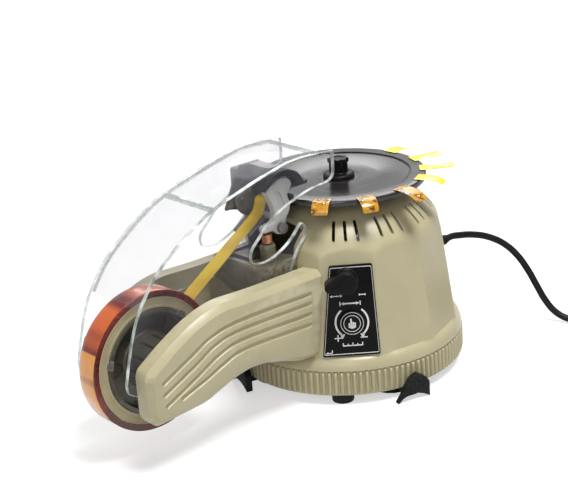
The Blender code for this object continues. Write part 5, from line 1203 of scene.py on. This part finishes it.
def makeGuide(v):
    outline = rounded(fromShares(v["shares"], *v["box"]), v["corner"])
    plate = eased(slab(outline, v["near"], v["far"]), 0.0004, 2, 50)
    front, back = (Vector(p) for p in fromShares(v["tableShares"], *v["box"]))
    down = Vector((0, -0.0018))
    table = slab([front, back, back + down, front + down], -reelValues["tapeHalf"], v["far"] - 0.0007)
    plate = carved(plate, eased(table, 0.0005, 3, 50), "UNION")
    x, z = v["rollerPlace"]
    plate = carved(plate, rodBetween((x, v["near"] - 0.01, z), (x, v["far"] + 0.01, z), 0.0019, 24))
    for x, z in fromShares(v["screwShares"], *v["box"]):
        screw = turned(lathe(v["screwHead"], 32), Matrix.Rotation(-math.pi / 2, 4, "X"))
        screw = moved(screw, (x, v["near"], z))
        cross = [block((x - a, v["near"] - 0.0012, z - b), (x + a, v["near"] - 0.0004, z + b))
                 for a, b in ((0.0013, 0.00025), (0.00025, 0.0013))]
        screw = carved(carved(screw, cross[0]), cross[1])
        plate = carved(plate, screw, "UNION")
    addPiece("guidePlate", plate, "darkGrey", "guide_plate", smooth=35)


guideValues = {
    "near": 0.00975, "far": 0.01175, "box": (-0.0930, 0.1305, 0.0330, 0.0220), "corner": 0.0030,
    "rollerPlace": (-0.0730, 0.1390),
    "tableShares": ((-0.091, -0.305), (0.318, 0.059)),
    "screwShares": ((0.212, 0.614), (0.455, 0.818)),
    "screwHead": ((0, -0.0008), (0.0012, -0.0008), (0.0020, -0.0005), (0.0022, 0), (0.0022, 0.0003),
                  (0, 0.0003)),
    "shares": ((0.000, 0.705), (0.030, 0.386), (0.182, 0.091), (0.394, 0.000), (0.712, 0.045),
               (0.712, 0.682), (1.000, 0.727), (0.970, 0.932), (0.545, 1.000)),
}
makeGuide(guideValues)


def makeLever(v):
    pivot = (v["x"], 0, v["z"])
    outline = rounded(fromShares(v["shares"], *v["box"]), v["corner"])
    shape = eased(slab(outline, v["near"], v["far"]), v["soft"], 4, 50, levelEdge)
    shape = carved(shape, slab(rounded(v["pocket"], 0.0016), v["near"] - 0.001, v["near"] + 0.0008))
    shape = carved(shape, rodBetween((0, v["near"] - 0.01, 0), (0, v["far"] + 0.01, 0), 0.0028, 32))
    addPiece("pressLever", moved(shape, pivot), "lightGrey", "press_lever", smooth=35)

    capNear = v["near"] - 0.0020
    line = fromShares(v["capShares"], *v["capBox"])
    outline = through(line[:6], 4) + through(line[5:], 4)[1:]
    cap = eased(slab(outline, capNear, capNear + 0.0100), 0.0010, 3, 50, levelEdge)
    half = v["rollerHalf"]
    front = v["rollerX"] - v["x"] - half
    back = front + half * 2
    low = v["capBox"][1] - 0.0009
    finger = rounded([(front, capNear + 0.002), (back, capNear + 0.002), (back, v["fingerEnd"]),
                      (front, v["fingerEnd"])], 0.0022)
    cap = carved(cap, eased(slab(finger, low, low + 0.0026, "xy"), 0.0006, 3, 50), "UNION")
    for start, end in ((front + 0.00015, front + 0.0015), (back - 0.0015, back - 0.00015)):
        cheek = rounded([(-0.0030, low - 0.0069), (0.0030, low - 0.0069), (0.0030, low + 0.0015),
                         (-0.0030, low + 0.0015)], 0.0018)
        cap = carved(cap, slab(cheek, start, end, "yz"), "UNION")
    drop = v["rollerZ"] - v["z"]
    cap = carved(cap, rodBetween((front - 0.004, 0, drop), (back + 0.004, 0, drop), 0.0015, 24))
    addPiece("leverCap", moved(cap, pivot), "black", "lever_cap", smooth=35)

    profile = [(0, -half), (0.0012, -half), (0.0012, -0.0055)]
    for k in range(6):
        start = -0.0054 + k * 0.0018
        profile += [(0.0036, start), (0.0040, start + 0.0003), (0.0040, start + 0.0012),
                    (0.0036, start + 0.0015)]
    profile += [(0.0036, 0.0052), (0.0012, 0.0055), (0.0012, half), (0, half)]
    roller = turned(lathe(profile, 40), Matrix.Rotation(math.pi / 2, 4, "Y"))
    roller = moved(roller, (v["rollerX"], 0, v["rollerZ"]))
    addPiece("pressRoller", roller, "rubber", "press_roller", smooth=40)


leverValues = {
    "x": -0.0770, "z": 0.1265, "near": -0.02005, "far": -0.01405, "box": (-0.0160, -0.0055, 0.0288, 0.0420),
    "capBox": (-0.0185, 0.0270, 0.0435, 0.0147), "rollerX": -0.05575, "rollerZ": 0.1476,
    "rollerHalf": 0.00765, "fingerEnd": 0.0045, "corner": 0.0040, "soft": 0.0009,
    "shares": (
        (0.747, 0.048), (0.729, 0.238), (0.896, 0.381), (0.924, 0.524), (0.826, 0.667), (1.000, 0.798),
        (0.993, 0.905), (0.833, 0.983), (0.608, 1.000), (0.382, 0.940), (0.139, 0.833), (0.312, 0.619),
        (0.410, 0.429), (0.365, 0.257), (0.000, 0.226), (0.000, 0.114), (0.330, 0.114), (0.434, 0.024),
        (0.608, 0.000)),
    "pocket": ((0.0005, 0.0080), (0.0040, 0.0120), (0.0050, 0.0180), (0.0010, 0.0270), (-0.0045, 0.0290),
               (-0.0010, 0.0190)),
    "capShares": (
        (0.000, 0.374), (0.241, 0.816), (0.437, 1.000), (0.655, 0.959), (0.851, 0.660), (1.000, 0.000),
        (0.805, 0.068), (0.747, 0.429), (0.618, 0.667), (0.455, 0.714), (0.301, 0.544), (0.115, 0.204)),
}
makeLever(leverValues)


def makeSpring(v):
    # An even coil, its wire ends round
    points = []
    count = v["turns"] * v["steps"]
    for k in range(count + 1):
        around = polar(v["radius"], math.tau * k / v["steps"])
        points.append((v["x"] + around.x, v["y"] + around.y, v["low"] + (v["high"] - v["low"]) * k / count))
    addPiece("leverSpring", tubeAlong(points, v["wire"], 10, 2), "copper", "lever_spring", smooth=60)


springValues = {
    "x": -0.0880, "y": -0.0170, "radius": 0.0034, "wire": 0.0004, "turns": 6, "steps": 28, "low": 0.1175,
    "high": 0.12385,
}
makeSpring(springValues)


def makeBracket(v):
    # The CAD bracket with the corner below its slope cut back to a leg, so light passes beside the tape
    shape = bmesh.new()
    shape.from_mesh(nodes["head_bracket"].data)
    shape.transform(nodes["head_bracket"].matrix_world)
    shape = moved(shape, (-machineX, 0, -machineLift))
    shape = carved(shape, slab(rounded(v["notch"], v["corner"]), v["near"], v["far"]))
    addPiece("headBracket", eased(shape, v["edge"], 2, 50), "darkSteel", "head_bracket", smooth=32)


bracketValues = {
    "notch": ((-0.1040, 0.1385), (-0.0960, 0.1385), (-0.0825, 0.1345), (-0.0805, 0.1075),
              (-0.1040, 0.1075)),
    "near": 0.0080, "far": 0.0160, "corner": 0.0022, "edge": 0.0003,
}
makeBracket(bracketValues)

for node, finish, edge in (("lever_pin", "darkSteel", 0.0004), ("feed_roller", "darkGrey", 0.0001),
                           ("blade_carrier", "darkGrey", 0.0004), ("cutter_blade", "steel", 0.0001),
                           ("cutter_solenoid", "darkGrey", 0.0002)):
    dress(node, finish, edge)
print("head made")


# Turntable, its knob, and the cut strips that wait on the rim

def makeTurntable(v):
    r, band = v["radius"], v["radius"] - v["band"]
    # Outwards over the top with its band, down the rim and back below
    profile = [(v["bore"], -0.0022), (0.0150, -0.0022), (0.0154, -0.0020), (0.0168, -0.0020),
               (0.0172, -0.0022), (0.0300, -0.0022), (0.0310, -0.0021), (0.0345, -0.0017),
               (band - 0.0025, -0.0009),
               (band - 0.0014, -0.0009), (band - 0.0010, -0.0013), (band - 0.0004, -0.0013),
               (band, -0.0008), (band + 0.0001, -0.0003), (band + 0.0005, 0), (r - 0.0040, 0),
               (r - 0.0014, -0.0001), (r - 0.0005, -0.0005), (r - 0.0001, -0.0012), (r, -0.0020),
               (r, -0.0039), (r - 0.0003, -0.0043), (r - 0.0019, -0.0043), (r - 0.0022, -0.0040),
               (r - 0.0022, -0.0024), (r - 0.0026, -0.0022), (band, -0.0031), (0.0300, -0.0044),
               (v["bore"], -0.0044)]
    disc = moved(lathe(profile, 192), (0, 0, v["top"]))
    addPiece("turntableDisc", disc, "disc", "turntable_disc", smooth=24)

    base = v["knobFoot"]
    profile = [(0.0043, base), (0.0117, base), (0.0119, base + 0.0003), (0.0119, base + 0.0014),
               (0.0115, base + 0.0022), (0.0105, base + 0.0029), (0.0086, base + 0.0032),
               (0.0076, base + 0.0034), (0.0071, base + 0.0040), (0.0071, 0.0099), (0, 0.0099),
               (0, 0.0071), (0.0043, 0.0071)]
    knob = lathe(profile, 64)
    angles = [math.tau * k / (v["lobes"] * 14) for k in range(v["lobes"] * 14)]
    outline = [polar(0.0071 + 0.0009 * math.cos(angle * v["lobes"]), angle) for angle in angles]
    cap = eased(slab(outline, 0.0089, 0.0123, "xy"), 0.0006, 4, 50)
    knob = carved(knob, cap, "UNION")
    knob = carved(knob, lathe([(0, 0.0118), (0.0042, 0.0118), (0.0046, 0.0124), (0, 0.0124)], 48))
    addPiece("centreKnob", moved(knob, (0, 0, v["top"])), "black", "centre_knob", smooth=32)


turntableValues = {
    "radius": 0.0657, "band": 0.0115, "top": 0.1432, "bore": 0.0043, "knobFoot": -0.0019, "lobes": 8,
}
makeTurntable(turntableValues)


def makeStrips(v):
    # Each strip holds on the rim, curls along and across, and ends in the blade's saw cut
    for number, (azimuth, droop, length, curl) in enumerate(v["strips"], 1):
        bend = math.radians(droop)
        path = [(v["radius"] - v["hold"] * (1 - k / 4), v["rise"]) for k in range(5)]
        step = length / v["steps"]
        for k in range(v["steps"]):
            angle = bend * (k + 0.5) / (v["steps"] - 0.5) * (0.55 + 0.45 * (k + 1) / v["steps"])
            path.append((path[-1][0] + math.cos(angle) * step, path[-1][1] - math.sin(angle) * step))
        count = len(path)
        widths, bows = [], []
        for i in range(count):
            t = max(0, i - 4) / (count - 5)
            widths.append(v["half"] * (1 - 0.10 * t * t))
            bows.append(curl * math.sin(min(1, t * 1.3) * math.pi / 2))
        shape = bandAlong(path, v["film"], widths, bows)
        end, before = (Vector((x, 0, z)) for x, z in (path[-1], path[-2]))
        tooth = (end - before).normalized() * v["tooth"]
        for vert in shape.verts:
            near = (Vector((vert.co.x, 0, vert.co.z)) - end).length < abs(curl) + v["film"] * 2
            if near and round((vert.co.y / widths[-1] + 1) * 4) % 2:
                vert.co += tooth
        # The three strips that face the front get the darker copy of the strip film as painted shade
        finish = "yellowFilm" if number > 3 else "amberFilm"
        piece = addPiece(f"tapeStrip-{number}", turned(shape, aboutZ(azimuth - 90)), finish,
                         f"tape_piece_{number}", smooth=60)
        smoother = piece.modifiers.new("curl", "SUBSURF")
        smoother.levels = smoother.render_levels = 1
        smoother.subdivision_type = "CATMULL_CLARK"


stripValues = {
    "radius": 0.0657, "rise": 0.14370, "hold": 0.0052, "half": 0.0065, "film": 0.00030, "tooth": 0.0009,
    "steps": 14,
    "strips": ((-54.0, 84.0, 0.0130, 0.0003), (-26.0, 78.0, 0.0140, 0.0004), (2.0, 34.0, 0.0190, -0.0006),
               (27.0, 24.0, 0.0170, 0.0006), (48.0, -8.0, 0.0210, -0.0008), (70.0, -4.0, 0.0190, 0.0006),
               (96.0, 12.0, 0.0140, -0.0005)),
}
makeStrips(stripValues)
print("turntable made")


# Control panel: black plate, pointer knob, ring and button, and the printed marks

def makePanel(v):
    wall = facetFrame(0)
    top = v["top"]
    plate = slab(rounded(v["outline"], 0.0016), 0.0003, top, "xy")
    plate = eased(plate, 0.0003, 2, 50, lambda e: min(p.co.z for p in e.verts) > 0.001)
    plate = carved(turned(plate, wall), joined(*panelHoles(0.004)))
    addPiece("controlPlate", plate, "plate", "control_plate")

    x, y = v["knobPlace"]
    base = top + 0.0006
    nose, wide, narrow = Vector(v["nose"]), v["gripRadius"], v["noseRadius"]
    aim = math.atan2(nose.y, nose.x)
    opening = math.acos((wide - narrow) / nose.length)
    outline = [polar(wide, aim + opening + (math.tau - 2 * opening) * k / 32) for k in range(33)]
    outline += [nose * 0.995 + polar(narrow, aim + opening * (2 * k / 12 - 1)) for k in range(13)]
    grip = eased(slab(outline, base + 0.0015, base + 0.0140, "xy"), 0.0013, 5, 50,
                 lambda e: min(p.co.z for p in e.verts) > base + 0.013)
    skirt = lathe([(0, base), (0.0090, base), (0.0092, base + 0.0003), (0.0088, base + 0.0024),
                   (0.0080, base + 0.0030), (0, base + 0.0030)], 64)
    knob = carved(grip, skirt, "UNION")
    knob = carved(knob, rodBetween((0, 0, -0.0062), (0, 0, base + 0.0015), 0.0030, 24), "UNION")
    groove = barAt(*nose.normalized() * (0.0145 + 0.0040) / 2, 0.0145 - 0.0040, 0.0010, math.degrees(aim))
    knob = carved(knob, slab(groove, base + 0.01355, base + 0.0150, "xy"))
    addPiece("widthKnob", turned(moved(knob, (x, y, 0)), wall), "black", "width_knob", smooth=35)

    x, y = v["ringPlace"]
    low = top + 0.0003
    high = low + 0.0026
    ring = lathe([(0.0023, -0.0062), (0.0036, -0.0062), (0.0036, low), (0.0088, low), (0.0091, low + 0.0003),
                  (0.0091, high - 0.0006), (0.0088, high - 0.0001), (0.0084, high), (0.0076, high),
                  (0.0072, high - 0.0003), (0.0072, low + 0.0008), (0.0023, low + 0.0008)], 96)
    places = [polar(0.00925, math.tau * k / v["knurls"]) for k in range(v["knurls"])]
    knurls = [rodBetween((*place, low + 0.0003), (*place, high + 0.001), 0.00042, 8) for place in places]
    ring = carved(ring, joined(*knurls))
    addPiece("lengthRing", turned(moved(ring, (x, y, 0)), wall), "black", "length_ring", smooth=32)
    face = high + 0.0004
    foot = 0.0008 - 0.0062
    button = lathe([(0, foot), (0.0020, foot), (0.0020, face - 0.0010), (0.0066, face - 0.0010),
                    (0.0068, face - 0.0008), (0.0068, face - 0.0004), (0.0064, face - 0.0001),
                    (0.0050, face - 0.0001), (0.0020, face - 0.0003), (0, face - 0.0003)], 72)
    addPiece("enterButton", turned(moved(button, (x, y, 0)), wall), "black", "enter_button", smooth=40)
    # The board's edges are broken twice: here, and once more with its own finish below
    dress("control_board", "black", 0.0002)


def inked(name, shapes, body):
    # Thin printed marks: flat outlines a hair proud of what they are printed on
    parts = [slab(outline, level - 0.00004, level + 0.00006, "xy") for outline, level in shapes]
    return addPiece(name, turned(joined(*parts), facetFrame(0)), "ink", body=body)


def ringBand(centre, outer, inner, steps=64, start=0, sweep=360):
    # A ring or an arc as quads
    bands = []
    for k in range(steps):
        angles = [math.radians(start + sweep * (k + t) / steps) for t in (0, 1)]
        corners = (outer, angles[0]), (outer, angles[1]), (inner, angles[1]), (inner, angles[0])
        bands.append([centre + polar(radius, angle) for radius, angle in corners])
    return bands


def barAt(x, y, length, thick, turn=0):
    along = polar(length / 2, math.radians(turn))
    across = Vector((-along.y, along.x)).normalized() * thick / 2
    middle = Vector((x, y))
    return [middle + along * a + across * b for a, b in ((-1, -1), (1, -1), (1, 1), (-1, 1))]


def arrowHead(x, y, size, turn):
    tip = polar(size, math.radians(turn))
    side = Vector((-tip.y, tip.x)) * 0.62
    middle = Vector((x, y))
    return [middle + tip, middle - tip * 0.25 + side, middle - tip * 0.25 - side]


def makeMarks(v):
    top = v["top"]
    marks = []
    inset = [Vector(p) for p in v["outline"]]
    centre = sum(inset, Vector((0, 0))) / 4
    rim = rounded([centre + (p - centre) * 0.955 for p in inset], 0.0012)
    inside = rounded([centre + (p - centre) * 0.940 for p in inset], 0.0011)
    for k in range(len(rim)):
        marks.append([rim[k - 1], rim[k], inside[k], inside[k - 1]])
    dial = Vector(v["ringPlace"])
    for start, sweep, turn in v["dialArrows"]:
        marks += ringBand(dial, 0.01255, 0.01120, 24, start, sweep)
        marks.append(arrowHead(*(dial + polar(0.01187, math.radians(start + sweep))), 0.0030, turn))
    marks += [barAt(*mark) for mark in v["bars"]]
    marks += [arrowHead(*mark) for mark in v["heads"]]
    inked("panelPrint", [(m, top) for m in marks], "chassis")
    high = top + 0.0003 + 0.0026
    inked("ringPrint", [(m, high) for m in ringBand(dial, 0.00835, 0.0080, 72)], "length_dial")
    level = high + 0.0001 + 0.0002
    hand = []
    for across, tip in v["fingers"]:
        corners = [(across - 0.00055, -0.0030), (across + 0.00055, -0.0030), (across + 0.00055, tip),
                   (across - 0.00055, tip)]
        hand.append(rounded([dial + Vector(p) for p in corners], 0.0005, 3))
    hand.append(rounded([dial + Vector(p) for p in v["palm"]], 0.0006, 3))
    press = [(m, level + 0.00002) for m in ringBand(dial, 0.0062, 0.0058, 60)]
    inked("buttonPrint", press + [(m, level - 0.00014) for m in hand], "button")


markValues = {
    **panelValues,
    "dialArrows": ((128, 104, -96), (52, -104, -84)),
    "fingers": ((-0.0021, 0.0004), (-0.0007, 0.0038), (0.0007, 0.0012), (0.0021, 0.0007)),
    "palm": ((-0.0030, -0.0040), (0.0026, -0.0040), (0.0028, -0.0014), (-0.0026, -0.0014)),
    "bars": (
        # wider and narrower beside the knob, then the double arrow of its range
        (-0.0095, 0.0481, 0.0046, 0.0007), (0.0093, 0.0483, 0.0026, 0.0007),
        (0.0002, 0.0422, 0.0110, 0.0010),
        (-0.0071, 0.0422, 0.0007, 0.0030), (0.0075, 0.0422, 0.0007, 0.0030),
        # longer and shorter under the ring, then a rule with ticks
        (-0.0100, 0.0165, 0.0050, 0.0008), (-0.0100, 0.0165, 0.0050, 0.0008, 90),
        (0.0089, 0.0163, 0.0050, 0.0008), (0.0005, 0.0105, 0.0140, 0.0008),
        (-0.0065, 0.0114, 0.0026, 0.0007, 90), (-0.0030, 0.0111, 0.0018, 0.0007, 90),
        (0.0005, 0.0114, 0.0026, 0.0007, 90), (0.0040, 0.0111, 0.0018, 0.0007, 90),
        (0.0075, 0.0114, 0.0026, 0.0007, 90),
        # the return arrow low on the left
        (-0.0163, 0.0056, 0.0030, 0.0006), (-0.0148, 0.0066, 0.0026, 0.0006, 90)),
    "heads": ((-0.0126, 0.0481, 0.0016, 180), (-0.0064, 0.0481, 0.0016, 0), (0.0072, 0.0483, 0.0014, 0),
              (0.0114, 0.0483, 0.0014, 180), (-0.0046, 0.0422, 0.0020, 180), (0.0050, 0.0422, 0.0020, 0),
              (-0.0181, 0.0056, 0.0014, 180)),
}
makePanel(panelValues)
makeMarks(markValues)
print("panel made")


# Feet, boards, drive and the power switch keep their CAD shapes, with their own finishes

for number in (1, 2, 3, 4):
    dress("rubber_foot_%d" % number, "rubber", 0.0004)
    dress("suction_cup_%d" % number, "rubber", 0.0006)
for node, finish, edge in (("turntable_spindle", "steel", 0.0002), ("drive_pinion", "brass", 0.0001),
                           ("spindle_bearing", "brass", 0.0003), ("switch_housing", "black", 0.0002),
                           ("power_rocker", "black", 0.0004)):
    dress(node, finish, edge)


def boardFinish(v):
    # Green board with tracks below, and its dark parts and windings above
    finish, wire, shader = startFinish("boardGreen", {})
    place = placeOn(wire)
    up = wire.node("ShaderNodeSeparateXYZ", {}, {0: place}, "Z")
    cells = wire.node("ShaderNodeTexVoronoi", {"distance": "CHEBYCHEV", "feature": "F1"},
                      {"Vector": place, "Scale": 420.0})
    track = cells.above(0.46, 0.03)
    dust = wire.clouds(place, 300.0, 4.0)
    green = wire.blended(track, v["green"], v["track"])
    turns = wire.clouds(wire.stretched(place, (60.0, 60.0, 1500.0)), 1.0, 2.0)
    windings = wire.blended(turns, v["dark"], v["copper"])
    upper = wire.blended(up.above(v["partTop"], 0.0006), v["dark"], windings)
    colour = wire.blended(up.above(v["boardTop"], 0.0002), green, upper)
    wire.fill(shader, {
        "Base Color": wire.blended(dust.above(0.6, 0.1) * 0.25, colour, v["dust"]),
        "Roughness": dust * 0.2 + 0.32,
        "Normal": wire.bumped(track * 0.04 + dust * 0.05),
    })
    return finish


boardValues = {
    "green": (0.03, 0.15, 0.06), "track": (0.06, 0.22, 0.09), "dark": (0.03, 0.03, 0.035),
    "copper": (0.42, 0.18, 0.07), "dust": (0.3, 0.29, 0.26), "boardTop": 0.0207, "partTop": 0.0335,
}
finishes["board"] = boardFinish(boardValues)
dress("main_board", "board", 0.0002)
dress("control_board", "board", 0.0001)
dress("gear_motor", "steel", 0.0003)
print("inner parts dressed")


def raysOf(wire):
    # What looks at a surface straight, in a shine and through something clear
    return [wire.node("ShaderNodeLightPath", output=kind)
            for kind in ("Is Camera Ray", "Is Glossy Ray", "Is Transmission Ray")]


def makeStage(v):
    # A pale floor and soft lamps; what the camera and shiny or clear things see of both is near white
    low = cadBounds[0].z
    half = v["floorHalf"]
    mesh = bpy.data.meshes.new("floor")
    mesh.from_pydata([(-half, -half, low), (half, -half, low), (half, half, low), (-half, half, low)], [],
                     [(0, 1, 2, 3)])
    finish, wire, shader = startFinish("floorFinish", {"Roughness": 0.6, "Emission Strength": 1.0})
    seen, glossy, sent = raysOf(wire)
    speck = wire.clouds(placeOn(wire), 3.0, 3.0)
    wire.fill(shader, {
        "Base Color": wire.blended(speck, v["floorColour"], v["floorCloud"]),
        "Emission Color": wire.blended(wire.held(seen + glossy + sent) * v["lift"], (0, 0, 0), (1, 1, 1)),
    })
    mesh.materials.append(finish)
    linked("floor", mesh)
    for name, place, size, power in v["lamps"]:
        data = bpy.data.lights.new(name, "AREA")
        data.size = size
        data.energy = power
        lamp = linked(name, data)
        lamp.location = place
        lamp.rotation_euler = (Vector(v["aim"]) - Vector(place)).to_track_quat("-Z", "Y").to_euler()
    world = bpy.data.worlds.new("studio")
    bpy.context.scene.world = world
    world.use_nodes = True
    sky = Wire(world.node_tree)
    seen, glossy, sent = raysOf(sky)
    direct = sky.held(seen + glossy * v["shine"] + sent)
    sky.fill(world.node_tree.nodes["Background"], {
        "Color": (1, 1, 1, 1), "Strength": direct * (1 - v["ambient"]) + v["ambient"]})


stageValues = {
    "floorHalf": 6.0, "floorColour": (0.55, 0.55, 0.55), "floorCloud": (0.53, 0.53, 0.53), "lift": 0.55,
    "aim": (0, 0, 0.08), "ambient": 0.22, "shine": 0.6,
    "lamps": (("keyLamp", (0.1, -0.7, 2.1), 0.7, 46), ("fillLamp", (-1.6, -1.2, 1.1), 1.2, 12),
              ("backLamp", (1.2, 1.2, 1.4), 1.2, 16)),
}
makeStage(stageValues)
bpy.context.scene.view_settings.view_transform = "Standard"
